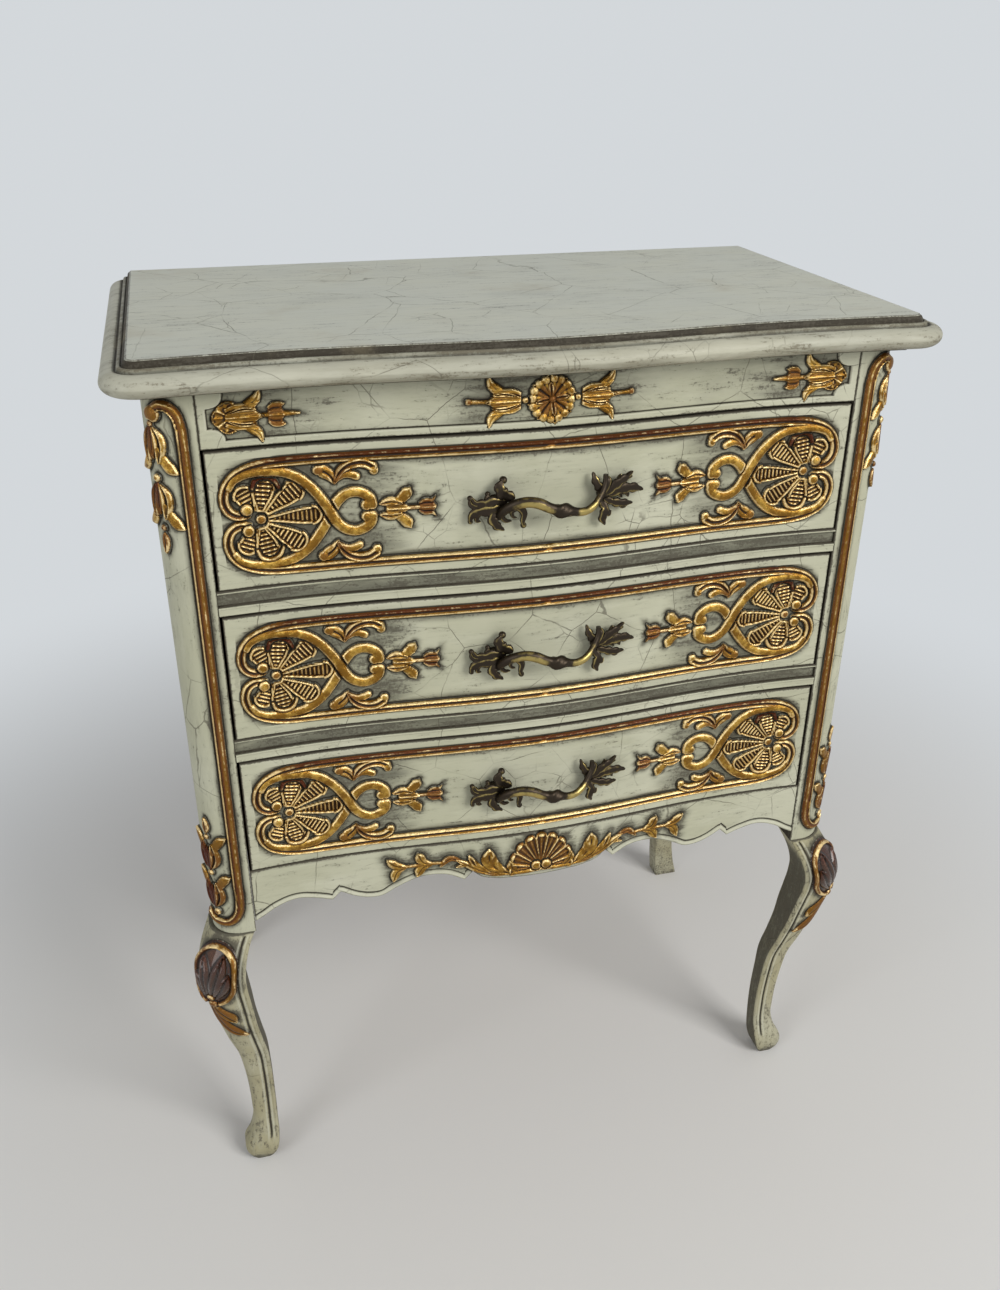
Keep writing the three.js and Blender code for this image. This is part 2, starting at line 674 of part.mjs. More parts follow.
// Frieze with its sunk field, whose ends are lobed and notched
function sunkOutline() {
  const half = stileInner - FRIEZE_SUNK_MARGIN;
  const low = topUnderside - FRIEZE_SUNK_HEIGHT;
  const lobeX = half + FRIEZE_LOBE_RADIUS;
  const notchX = lobeX + FRIEZE_NOTCH_WIDTH;
  const right = [
    ...arc(lobeX, low, FRIEZE_LOBE_RADIUS, 180, 90, CORNER_STEPS),
    [notchX, low + FRIEZE_LOBE_RADIUS],
    [notchX, topUnderside - FRIEZE_LOBE_RADIUS],
    ...arc(lobeX, topUnderside, FRIEZE_LOBE_RADIUS, 270, 180, CORNER_STEPS),
    [half, topUnderside + OVERRUN],
  ];
  return [...right, ...flipX(right)];
}

function makeFrieze() {
  const half = stileInner - SEAT_GAP;
  const board = frontBoard(half, openingTop, frameTop, friezeInner);
  const reach = FRONT_WAVE + OVERRUN;
  const sunk = prismY(sunkOutline(), frontLine - reach, frontLine + reach)
    .intersect(frontBand(half, openingTop, HEIGHT, -FRIEZE_SUNK_DEPTH, reach));
  const frieze = board.add(railTenons(...tenonLevels[0])).subtract(sunk).add(friezeCarving());
  addPiece(carcase, 'frieze_rail', toGeometry(frieze), 'sagePaint');
}

// Rails between the drawers, with a hollow between two fillets
// Columns: sunk depth, height
const railShares = [
  [0, 1], [0, 0.84], [0.85, 0.7], [1, 0.5], [0.85, 0.3], [0, 0.16], [0, 0],
];

function makeRails() {
  const half = stileInner - SEAT_GAP;
  railLevels.forEach((top, row) => {
    const rings = across(half).map((x) => [
      ...railShares.map(([sunk, rise]) => [
        x, frontAt(x) + RAIL_HOLLOW * sunk, top - RAIL_HEIGHT * (1 - rise)]),
      [x, railBack, top - RAIL_HEIGHT],
      [x, railBack, top],
    ]);
    const rail = loft(rings).add(railTenons(...tenonLevels[row + 1]));
    addPiece(carcase, ['rail_upper', 'rail_lower'][row], toGeometry(rail), 'sagePaint');
  });
}

// Apron: its lower edge swings between small pointed notches
// Columns: place across the half apron, drop
const apronEdgeShares = [
  [[1, 1.12], [0.955, 1], [0.9, 0.87], [0.85, 0.79], [0.785, 0.86], [0.733, 0.96]],
  [[0.704, 0.8], [0.66, 0.96], [0.6, 1.04], [0.52, 0.9], [0.46, 0.76], [0.393, 0.68], [0.333, 0.72],
    [0.274, 0.88]],
  [[0.244, 0.72], [0.2, 0.87], [0.14, 0.95], [0, 1]],
];

function apronEdge() {
  const half = stileInner - SEAT_GAP;
  const stretches = apronEdgeShares.map((shares) => smooth(
    shares.map(([s, drop]) => [half * s, apronTop - APRON_DROP * drop]), 2 * shares.length));
  return stretches.flat();
}

function makeApron() {
  const half = stileInner - SEAT_GAP;
  const right = apronEdge();
  const left = right.slice(0, -1).reverse().map(([x, z]) => [-x, z]);
  const outline = [...right, ...left, [-half, apronTop], [half, apronTop]];
  const back = frontLine + APRON_THICKNESS;
  const blank = prismY(outline, frontLine - FRONT_WAVE - CARVING_RELIEF - OVERRUN, back);
  const board = blank.intersect(frontBoard(half, apronTop - 2 * APRON_DROP, apronTop, back));
  const apron = board.add(railTenons(...tenonLevels[DRAWER_COUNT])).add(apronCarving().intersect(blank));
  addPiece(carcase, 'apron', toGeometry(apron), 'sagePaint');
}

// Runners with their guides, kickers and stops
function makeRunners() {
  const guideInner = drawerHalf + RUNNING_GAP;
  const outer = panelInner - SEAT_GAP;
  const front = railBack + SEAT_GAP;
  const back = postFront - SEAT_GAP;
  for (let row = 0; row < DRAWER_COUNT; row += 1) {
    const floor = openingFloor(row);
    const outline = [
      [outer, floor - RUNNER_THICKNESS],
      [outer, floor + GUIDE_HEIGHT],
      [guideInner, floor + GUIDE_HEIGHT],
      [guideInner, floor],
      [outer - RUNNER_WIDTH, floor],
      [outer - RUNNER_WIDTH, floor - RUNNER_THICKNESS],
    ];
    addPair(carcase, `runner_${row + 1}`, prismY(outline, front, back), 'bareBeech');
  }
  const kicker = box(outer - RUNNER_WIDTH, outer, frameFront + FRAME_RAIL_DEPTH + SEAT_GAP, back,
    openingTop, openingTop + KICKER_THICKNESS);
  addPair(carcase, 'kicker', kicker, 'bareBeech');
}

function makeStops() {
  const front = frontInner + SEAT_GAP;
  for (let row = 0; row < DRAWER_COUNT; row += 1) {
    const low = openingFloor(row) + SEAT_GAP;
    const batten = box(-STOP_LENGTH / 2, STOP_LENGTH / 2, front, front + STOP_DEPTH,
      low, low + STOP_HEIGHT);
    addPiece(carcase, `drawer_stop_${row + 1}`, toGeometry(batten), 'bareBeech');
  }
}

// Drawer boxes: lapped dovetails at the front, through dovetails at the back
function tailSet(shoulder, tip, z0, z1, count, grow = 0) {
  const pitch = (z1 - z0) / count;
  const outwards = Math.sign(tip - shoulder) * grow;
  return Array.from({ length: count }, (_, i) => {
    const middle = z0 + pitch * (i + 1 / 2);
    const root = (pitch * TAIL_WIDTH_SHARE) / 2 + grow;
    const flared = root + TAIL_FLARE;
    return [
      [shoulder - outwards, middle - root],
      [tip + outwards, middle - flared],
      [tip + outwards, middle + flared],
      [shoulder - outwards, middle + root],
    ];
  });
}

function makeDrawer(row) {
  const drawer = new THREE.Group();
  chest.add(drawer);
  const label = `drawer_${row + 1}`;
  const floor = openingFloor(row);
  const low = floor + SEAT_GAP;
  const high = floor + openingHeight - DRAWER_BOX_SETDOWN;
  const boxBack = backPanelFront - DRAWER_BOX_REAR_GAP;
  const backShoulder = boxBack - DRAWER_BACK_THICKNESS;
  const sideInner = drawerHalf - DRAWER_SIDE_THICKNESS;
  const grooveLow = low + BOTTOM_GROOVE_RISE;
  const grooveHigh = grooveLow + DRAWER_BOTTOM_THICKNESS + 2 * SEAT_GAP;
  const backLow = grooveHigh + SEAT_GAP;
  const backHigh = high - DRAWER_BACK_SETDOWN;
  const frontTails = (grow) => tailSet(frontInner, frontInner - TAIL_LENGTH, low, high, TAIL_COUNT, grow);
  const backTails = (grow) => tailSet(backShoulder, boxBack, backLow, backHigh, TAIL_COUNT - 1, grow);

  const plate = [
    [frontInner + SEAT_GAP, low],
    [boxBack, low],
    [boxBack, backLow - SEAT_GAP],
    [backShoulder - SEAT_GAP, backLow - SEAT_GAP],
    [backShoulder - SEAT_GAP, backHigh + SEAT_GAP],
    [boxBack, backHigh + SEAT_GAP],
    [boxBack, high],
    [frontInner + SEAT_GAP, high],
  ];
  const tails = [...frontTails(0), ...backTails(0)].map((tail) => {
    const towards = Math.sign(tail[1][0] - tail[0][0]);
    const rooted = tail.map(([y, z], i) => [i % 3 === 0 ? y - towards * 2 * SEAT_GAP : y, z]);
    return prismX(rooted, sideInner, drawerHalf);
  });
  const groove = box(sideInner - OVERRUN, sideInner + BOTTOM_GROOVE_DEPTH, frontInner,
    boxBack + OVERRUN, grooveLow, grooveHigh);
  const side = unite([prismX(plate, sideInner, drawerHalf), ...tails]).subtract(groove);
  addPair(drawer, `${label}_side`, side, 'bareBeech');

  const socketPair = (outlines) => unite(outlines.flatMap((outline) => [
    prismX(outline, sideInner - SEAT_GAP, drawerHalf + OVERRUN),
    prismX(outline, -drawerHalf - OVERRUN, -sideInner + SEAT_GAP),
  ]));
  const middle = drawerMiddle(row);
  const boltX = PULL_GRIP_LENGTH / 2;
  const boltHoles = [-boltX, boltX].map((x) => prismY(
    disc(x, middle, BOLT_RADIUS + SEAT_GAP, FASTENER_SIDES),
    frontAt(boltX, BOLT_BITE + SEAT_GAP), frontInner + OVERRUN));
  const frontGroove = box(-sideInner, sideInner, frontInner - BOTTOM_GROOVE_DEPTH,
    frontInner + OVERRUN, grooveLow, grooveHigh);
  const front = frontBoard(drawerHalf, floor + DRAWER_EDGE_GAP,
    floor + DRAWER_EDGE_GAP + drawerHeight, frontInner)
    .add(drawerCarving(middle))
    .subtract(unite([socketPair(frontTails(SEAT_GAP)), frontGroove, ...boltHoles]));
  addPiece(drawer, `${label}_front`, toGeometry(front), 'sagePaint');

  const back = box(-drawerHalf, drawerHalf, backShoulder, boxBack, backLow, backHigh)
    .subtract(socketPair(backTails(SEAT_GAP)));
  addPiece(drawer, `${label}_back`, toGeometry(back), 'bareBeech');

  const bottomLow = grooveLow + SEAT_GAP;
  const bottomHigh = bottomLow + DRAWER_BOTTOM_THICKNESS;
  const bottomHalf = sideInner + BOTTOM_GROOVE_DEPTH - SEAT_GAP;
  const tongueHalf = sideInner - SEAT_GAP;
  const sheet = box(-bottomHalf, bottomHalf, frontInner + SEAT_GAP, boxBack, bottomLow, bottomHigh)
    .add(box(-tongueHalf, tongueHalf, frontInner - BOTTOM_GROOVE_DEPTH + SEAT_GAP, boxBack,
      bottomLow, bottomHigh));
  addPiece(drawer, `${label}_bottom`, toGeometry(sheet), 'plywood');

  makePull(drawer, label, middle, unite(boltHoles));
}

// Bronze pull: two leafy plates and an S-shaped bar that stands off the drawer
// Columns: place along half the bolt spacing, stand-off, rise as a share of the leaf reach
const pullPathShares = [
  [-1.07, 0.16, -0.15], [-0.93, 0.55, 0.15], [-0.71, 0.88, 0.23], [-0.4, 1.05, 0.12], [-0.09, 1.12, -0.15],
  [0.18, 1.12, -0.35], [0.44, 1.02, -0.38], [0.71, 0.84, -0.19], [0.91, 0.52, 0.08], [1.04, 0.16, 0.15],
];
// Columns: place along the bar, thickness
const pullGirthShares = [
  [0, 0.8], [0.2, 0.95], [0.52, 1.1], [0.56, 1.5], [0.6, 1.5], [0.64, 1], [0.85, 0.95], [1, 0.8],
];
// Leaf tips round a bolt, as shares of the leaf reach
const pullLeafShares = [[-0.5, 0.77], [0.7, 0.62], [1.1, 0], [0.76, -0.5], [-0.04, -0.95]];

function girthAt(along) {
  const next = pullGirthShares.findIndex(([place]) => place >= along);
  const [placeB, girthB] = pullGirthShares[Math.max(next, 1)];
  const [placeA, girthA] = pullGirthShares[Math.max(next, 1) - 1];
  return THREE.MathUtils.mapLinear(along, placeA, placeB, girthA, girthB);
}

function makePull(drawer, label, middle, boltHoles) {
  const boltX = PULL_GRIP_LENGTH / 2;
  const curve = new THREE.CatmullRomCurve3(pullPathShares.map(([x, off, rise]) => new THREE.Vector3(
    boltX * x, frontAt(boltX * x, PULL_STANDOFF * off), middle + PULL_LEAF_REACH * rise)));
  const frames = curve.computeFrenetFrames(PULL_STEPS);
  const rings = Array.from({ length: PULL_STEPS + 1 }, (_, i) => {
    const centre = curve.getPointAt(i / PULL_STEPS);
    const radius = PULL_BAR_RADIUS * girthAt(i / PULL_STEPS);
    return arc(0, 0, radius, 0, 360, PULL_SIDES).slice(0, PULL_SIDES).map(([n, b]) => centre.clone()
      .addScaledVector(frames.normals[i], n).addScaledVector(frames.binormals[i], b).toArray());
  });
  const leaves = [-1, 1].flatMap((hand) => pullLeafShares.map(([u, v]) => leaf(
    [hand * boltX, middle],
    [hand * (boltX + PULL_LEAF_REACH * u), middle + hand * PULL_LEAF_REACH * v],
    PULL_LEAF_WIDTH)));
  const bosses = [-boltX, boltX].map((x) => disc(x, middle, PULL_BOSS_RADIUS));
  const zone = [2 * boltX, middle - drawerHeight, middle + drawerHeight];
  const plates = onFront(leaves, ...zone, SEAT_GAP, PULL_PLATE_THICKNESS);
  const hubs = onFront(bosses, ...zone, SEAT_GAP, PULL_BOSS_HEIGHT);
  const wood = frontBand(...zone, -DRAWER_FRONT_THICKNESS, SEAT_GAP);
  const pull = unite([plates, hubs, loft(rings)]).subtract(wood).subtract(boltHoles);
  addPiece(drawer, `${label}_pull`, toGeometry(pull), 'bronze');

  const length = frontInner + SEAT_GAP + BOLT_HEAD_HEIGHT - frontAt(boltX, BOLT_BITE);
  const profile = headedProfile(BOLT_HEAD_RADIUS, BOLT_HEAD_HEIGHT, BOLT_RADIUS, length);
  const bolt = toSolid(turned(profile).rotateX(Math.PI / 2)
    .translate(boltX, frontInner + SEAT_GAP + BOLT_HEAD_HEIGHT, middle));
  addPair(drawer, `${label}_pull_bolt`, bolt, 'steel');
}

// Drawer carving, its left end: shares of a length inwards, and of the half height upwards
const rimEndShares = [
  [0.98, 0.925], [0.72, 0.925], [0.47, 0.87], [0.2, 0.7], [0.08, 0.49], [0.1, 0.27], [0.24, 0.12],
  [0.4, 0.17],
];
const heartShares = [
  [0.23, 0.45], [0.3, 0.66], [0.53, 0.79], [1.04, 0.77], [1.35, 0.62], [1.55, 0.33], [1.69, 0.02],
  [1.86, -0.2], [2.06, -0.3], [2.27, -0.26], [2.38, -0.14], [2.33, -0.02],
];
const palmetteCentreShare = [0.63, 0];
const palmetteTipShares = [[0.3, 0.3], [0.8, 0.62], [1.4, 0.26]];
const curlLeafShares = [[[1.62, 0.36], [2.3, 0.72]]];
const flowerShares = [[0, 0.3], [0.35, 0.25], [0.62, 1], [0.68, 0.2], [0.76, 0.42], [0.84, 0.15], [1, 0.25]];

function drawerCarving(middle) {
  const end = drawerHalf - CARVING_END_MARGIN;
  const place = ([u, v]) => [u * CARVING_SHARE_LENGTH - end, v * carvingHalf];
  const quarter = [
    strap(rimEndShares.map(place), RIM_WIDTH, RIM_STEPS),
    strap(heartShares.map(place), RIBBON_WIDTH, HEART_STEPS),
    disc(...place([rimEndShares.at(-1)[0], rimEndShares.at(-1)[1]]), VOLUTE_BALL_RADIUS, CORNER_STEPS),
    ...palmetteTipShares.map((tip) => leaf(place(palmetteCentreShare), place(tip), PALMETTE_LOBE_WIDTH)),
    ...curlLeafShares.map(([from, to]) => leaf(place(from), place(to), LEAF_WIDTH)),
  ];
  const flowerStart = place([heartShares.at(-2)[0], 0])[0];
  const flower = spindle(flowerShares, flowerStart, FLOWER_LENGTH, FLOWER_FLARE);
  const leftEnd = [...quarter, ...quarter.map(flipZ), flower];
  const railHalf = end - rimEndShares[0][0] * CARVING_SHARE_LENGTH + RIM_WIDTH;
  const railMiddle = rimEndShares[0][1] * carvingHalf;
  const railReach = RIM_WIDTH / 2 - SEAT_GAP;
  const rail = [
    [-railHalf, railMiddle - railReach],
    [railHalf, railMiddle - railReach],
    [railHalf, railMiddle + railReach],
    [-railHalf, railMiddle + railReach],
  ];
  const outlines = [...leftEnd, ...leftEnd.map(flipX), rail, flipZ(rail)]
    .map((outline) => shift(outline, 0, middle));
  return onFront(outlines, drawerHalf, middle - drawerHeight, middle + drawerHeight,
    -CARVING_RELIEF, CARVING_RELIEF);
}

// Frieze ornaments in the sunk field
const friezeMiddle = topUnderside - FRIEZE_SUNK_HEIGHT / 2;
// Columns: place out from the rosette's rim, half height as a share of the rosette's radius
const tulipShares = [
  [-0.1, 0.2], [0.1, 0.3], [0.18, 0.15], [0.2, 0.45], [0.5, 0.4], [0.66, 0.95], [0.7, 0.3], [1, 0.06],
];
const sprayShares = [
  [0, 0.5], [0.16, 0.6], [0.2, 0.35], [0.35, 0.5], [0.46, 1], [0.5, 0.35], [0.62, 0.1],
  [0.68, 0.45], [0.78, 0.4], [0.82, 0.08], [1, 0.05],
];

function lobedDisc(radius, lobes) {
  return Array.from({ length: 2 * lobes }, (_, i) => {
    const angle = (Math.PI * i) / lobes;
    const r = radius * (i % 2 === 0 ? 1 : LOBE_NICK_SHARE);
    return [r * Math.cos(angle), r * Math.sin(angle)];
  });
}

function friezeCarving() {
  const tulip = spindle(tulipShares, ROSETTE_RADIUS, ROSETTE_SPREAD - ROSETTE_RADIUS, ROSETTE_RADIUS);
  const sunkHalf = stileInner - FRIEZE_SUNK_MARGIN + FRIEZE_LOBE_RADIUS + FRIEZE_NOTCH_WIDTH;
  const spray = spindle(sprayShares, SPRAY_END_GAP - sunkHalf, SPRAY_LENGTH, SPRAY_FLARE);
  const outlines = [lobedDisc(ROSETTE_RADIUS, ROSETTE_LOBES), tulip, flipX(tulip), spray, flipX(spray)]
    .map((outline) => shift(outline, 0, friezeMiddle));
  return onFront(outlines, stileInner - SEAT_GAP, openingTop, frameTop,
    -FRIEZE_SUNK_DEPTH - CARVING_RELIEF, CARVING_RELIEF - FRIEZE_SUNK_DEPTH);
}

// Apron shell with its garlands
// Columns: root and tip of each leaf, along the garland's reach and up its leaf height
const garlandShares = [
  [[0.16, 0.25], [0.34, 1.1]], [[0.16, 0.3], [0.48, 0.95]], [[0.3, 0.45], [0.66, 0.75]],
  [[0.6, 0.6], [0.82, 1.15]], [[0.6, 0.6], [0.82, 0.45]], [[0.78, 0.65], [0.99, 1.2]],
  [[0.78, 0.65], [0.98, 0.45]], [[0.55, 0.68], [0.9, 0.75]],
];

function apronCarving() {
  const foot = apronTop - APRON_DROP + SHELL_FOOT_RISE;
  const fan = Array.from({ length: 2 * SHELL_FLUTES + 1 }, (_, i) => {
    const angle = (Math.PI * i) / (2 * SHELL_FLUTES);
    const r = i % 2 === 0 ? SHELL_NICK_SHARE : 1;
    return [SHELL_HALF_WIDTH * r * Math.cos(angle), foot + SHELL_RADIUS * r * Math.sin(angle)];
  });
  const leaves = garlandShares.map((ends) => {
    const [from, to] = ends.map(([u, v]) => [GARLAND_REACH * u, foot + GARLAND_LEAF * v]);
    return leaf(from, to, LEAF_WIDTH * GARLAND_WIDTH_SHARE);
  });
  const outlines = [fan, ...leaves, ...leaves.map(flipX)];
  return onFront(outlines, stileInner - SEAT_GAP, foot, apronTop, -CARVING_RELIEF, CARVING_RELIEF);
}

// Corner ornament of the stiles: a bead on both faces, and bell drops on the corner itself
const cornerBasis = new THREE.Matrix4().makeBasis(
  new THREE.Vector3(1, 1, 0).normalize(), axisZ, new THREE.Vector3(1, -1, 0).normalize());

function cornerPrism(outline, reach) {
  const basis = new THREE.Matrix4().makeTranslation(sideLine, stileFront, 0).multiply(cornerBasis);
  return prism(outline, -reach, reach, basis);
}

function swapFaces(solid) {
  const swap = new THREE.Matrix4().set(
    0, -1, 0, sideLine + stileFront,
    -1, 0, 0, sideLine + stileFront,
    0, 0, 1, 0,
    0, 0, 0, 1);
  const geometry = toGeometry(solid);
  geometry.applyMatrix4(swap);
  const order = geometry.index.array;
  for (let i = 0; i < order.length; i += 3) {
    [order[i], order[i + 1]] = [order[i + 1], order[i]];
  }
  return toSolid(geometry);
}

// Columns: along the drop, half width as a share of its flare
const bellShares = [[0, 0.25], [0.2, 0.5], [0.5, 0.5], [0.9, 1], [0.92, 0.4], [1.1, 0.3], [1.25, 0.1]];
// Columns: way from the bead's line towards the corner, way to the end from the hook's root
const hookShares = [[0, 0], [0.05, 0.35], [0.35, 0.8], [0.8, 0.9], [1.1, 0.6]];

function stileCarving() {
  const skin = prismZ(stileOutline(CARVING_RELIEF), LEG_HEIGHT, frameTop);
  const beadX = sideLine - STILE_CORNER_RADIUS;
  const low = LEG_HEIGHT + BEAD_FOOT_INSET + BEAD_HOOK;
  const high = topUnderside - BEAD_END_INSET - BEAD_HOOK;
  const hook = (z, sign) => strap(hookShares.map(([u, v]) => [
    beadX + BEAD_HOOK * u, z + sign * BEAD_HOOK * v]), BEAD_WIDTH, HOOK_STEPS);
  const bead = [
    [beadX - BEAD_WIDTH / 2, low - BEAD_WIDTH / 2],
    [beadX + BEAD_WIDTH / 2, low - BEAD_WIDTH / 2],
    [beadX + BEAD_WIDTH / 2, high + BEAD_WIDTH / 2],
    [beadX - BEAD_WIDTH / 2, high + BEAD_WIDTH / 2],
  ];
  const reach = CARVING_RELIEF + OVERRUN;
  const face = unite([bead, hook(high, 1), hook(low, -1)].map((outline) => prismY(
    outline, stileFront - reach, stileFront + STILE_CORNER_RADIUS / 2)));
  const bell = (z, sign) => spindle(bellShares, 0, DROP_LENGTH, DROP_FLARE)
    .map(([s, w]) => [w, z + sign * s]);
  const topZ = topUnderside - DROP_TOP_INSET;
  const footZ = LEG_HEIGHT + DROP_FOOT_RISE;
  const drops = [
    bell(topZ, -1), bell(topZ - DROP_LENGTH * DROP_PITCH_SHARE, -1),
    bell(footZ, 1), bell(footZ + DROP_LENGTH * DROP_PITCH_SHARE, 1),
  ].map((outline) => cornerPrism(outline, STILE_CORNER_RADIUS / 2));
  return unite([face, swapFaces(face), ...drops]).intersect(skin);
}

// Knee cartouche: an oval boss with a leaf below it
function kneeCartouche() {
  const middle = LEG_HEIGHT - CARTOUCHE_INSET;
  const oval = disc(0, 0, 1, OVAL_SIDES).map(([u, v]) => [
    CARTOUCHE_HALF_WIDTH * u, middle + CARTOUCHE_HALF_HEIGHT * v]);
  const leafTop = middle - CARTOUCHE_HALF_HEIGHT * CARTOUCHE_LEAF_START_SHARE;
  const tailLeaf = leaf([0, leafTop], [0, leafTop - TAIL_LEAF_LENGTH], TAIL_LEAF_WIDTH);
  const reach = KNEE_SWELL + CARVING_RELIEF + OVERRUN;
  const prisms = [oval, tailLeaf].map((outline) => cornerPrism(outline, reach));
  return unite(prisms).intersect(legBody(CARVING_RELIEF));
}

makeTop();
makeScrews();
makeFrameRails();
makeStiles();
makeFrontLegs();
makeRearPosts();
makeSidePanels();
makeBackPanel();
makeFrieze();
makeRails();
makeApron();
makeRunners();
makeStops();
for (let row = 0; row < DRAWER_COUNT; row += 1) {
  makeDrawer(row);
}

export default chest;
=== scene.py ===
"""A painted and gilded commode chest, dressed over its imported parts."""

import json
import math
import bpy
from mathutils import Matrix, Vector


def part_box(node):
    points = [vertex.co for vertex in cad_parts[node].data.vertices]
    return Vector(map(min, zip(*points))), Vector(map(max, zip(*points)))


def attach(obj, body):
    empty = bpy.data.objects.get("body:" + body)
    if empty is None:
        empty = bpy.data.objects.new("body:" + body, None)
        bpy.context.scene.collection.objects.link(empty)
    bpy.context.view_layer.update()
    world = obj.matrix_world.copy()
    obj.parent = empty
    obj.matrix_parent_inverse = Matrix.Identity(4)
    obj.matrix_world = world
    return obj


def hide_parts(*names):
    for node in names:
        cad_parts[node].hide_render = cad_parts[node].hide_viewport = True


bl_info = {
    "name": "Commode Chest",
    "version": (1, 0, 0),
    "blender": (4, 5, 0),
    "location": "View3D > Sidebar > Commode Chest",
    "description": "Builds the carved, painted and gilded surfaces of a commode chest",
    "category": "Add Mesh",
}

import bmesh
import bpy
import numpy as np
from mathutils import Matrix, Vector

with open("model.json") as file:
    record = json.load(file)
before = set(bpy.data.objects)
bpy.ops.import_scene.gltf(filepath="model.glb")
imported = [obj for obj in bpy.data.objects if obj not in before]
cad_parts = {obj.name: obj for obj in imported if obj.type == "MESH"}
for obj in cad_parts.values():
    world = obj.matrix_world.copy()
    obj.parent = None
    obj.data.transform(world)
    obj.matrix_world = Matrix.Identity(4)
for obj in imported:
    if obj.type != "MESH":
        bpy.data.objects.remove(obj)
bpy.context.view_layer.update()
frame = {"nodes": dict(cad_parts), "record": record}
MM = 0.001


def node_box(name):
    """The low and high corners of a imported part, in millimetres."""
    low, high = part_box(name)
    return np.array(low) / MM, np.array(high) / MM


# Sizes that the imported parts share
DRAWERS = (1, 2, 3)
FRONT_THICKNESS = 22.0
APRON_THICKNESS = 20.0
SEAT_GAP = 0.3
PANEL_HOUSING = 5.0
REAR_FOOT_SPLAY = 5.0
REAR_FOOT_KICK = 38.0
# Room and steps that only the surfaces have
TOP_PLAY = 1.1  # room above a drawer front
END_PLAY = 0.15  # the tails of the drawer sides stand proud of the front's ends by this much
BACK_PLAY = 0.15  # and the back panel stands proud of the rear posts
RIM_MARGIN = 7.0  # from the end of a drawer front to its carved rim
CARVED_LENGTH = 178.0  # of each end of a drawer front
FAR = 99.0  # stands for no edge nearby
# Planes and levels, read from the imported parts
FRONT_LINE = node_box("drawer_1_front")[1][1] - FRONT_THICKNESS
DRAWER_HALF = node_box("drawer_1_front")[1][0]
DRAWER_SPANS = {n: (node_box(f"drawer_{n}_front")[0][2], node_box(f"drawer_{n}_front")[1][2]) for n in DRAWERS}
STILE_INNER = node_box("top_rail_front")[1][0] + SEAT_GAP
SIDE_LINE = node_box("rear_post_right")[1][0] - REAR_FOOT_SPLAY
BACK_LINE = node_box("rear_post_right")[1][1] - REAR_FOOT_KICK
STILE_BACK = node_box("side_panel_right")[0][1] + PANEL_HOUSING
LEG_HEIGHT = node_box("front_stile_right")[0][2]
CASE_TOP = node_box("front_stile_right")[1][2]
FRIEZE_LOW = node_box("frieze_rail")[0][2]
APRON_TOP = node_box("apron")[1][2]
RAIL_SPANS = {name: (node_box(name)[0][2], node_box(name)[1][2]) for name in ("rail_upper", "rail_lower")}
RAIL_BACK = node_box("rail_upper")[1][1]
TOP_LOW, TOP_HIGH = node_box("top_board")


def length_property(name, description, millimetres):
    """A length setting."""
    return bpy.props.FloatProperty(name=name, description=description, default=millimetres * MM, subtype="DISTANCE",
                                   unit="LENGTH")


def power_property(name, description, default):
    """The power of a lamp, in watts."""
    return bpy.props.FloatProperty(name=name, description=description, default=default, subtype="POWER", unit="POWER")


class ChestSizes(bpy.types.PropertyGroup):
    """Sizes of the surfaces and strengths of the lights."""

    wave: length_property("Wave", "How far the front swings in and out", 5.0)
    wave_length: length_property("Wave length", "Length of the front's wave", 400.0)
    relief: length_property("Relief", "How far the carving stands out", 3.6)
    fine_step: length_property("Fine step", "Mesh step over carving", 0.70)
    coarse_step: length_property("Coarse step", "Mesh step over plain stretches", 6.0)
    stile_radius: length_property("Stile corner", "Radius of the stiles' corners", 26.0)
    overhang_front: length_property("Front overhang", "Overhang of the top at the front", 31.0)
    knee_swell: length_property("Knee swell", "How far the knees stand out", 17.0)
    key_power: power_property("Key light", "Power of the main lamp", 76.0)
    fill_power: power_property("Fill light", "Power of the side lamp", 18.0)
    sky: bpy.props.FloatProperty(name="Sky", description="Strength of the light from all round", default=0.42)


def colour_property(name, description, default):
    """A colour setting, in linear light."""
    return bpy.props.FloatVectorProperty(name=name, description=description, subtype="COLOR", size=3, default=default)


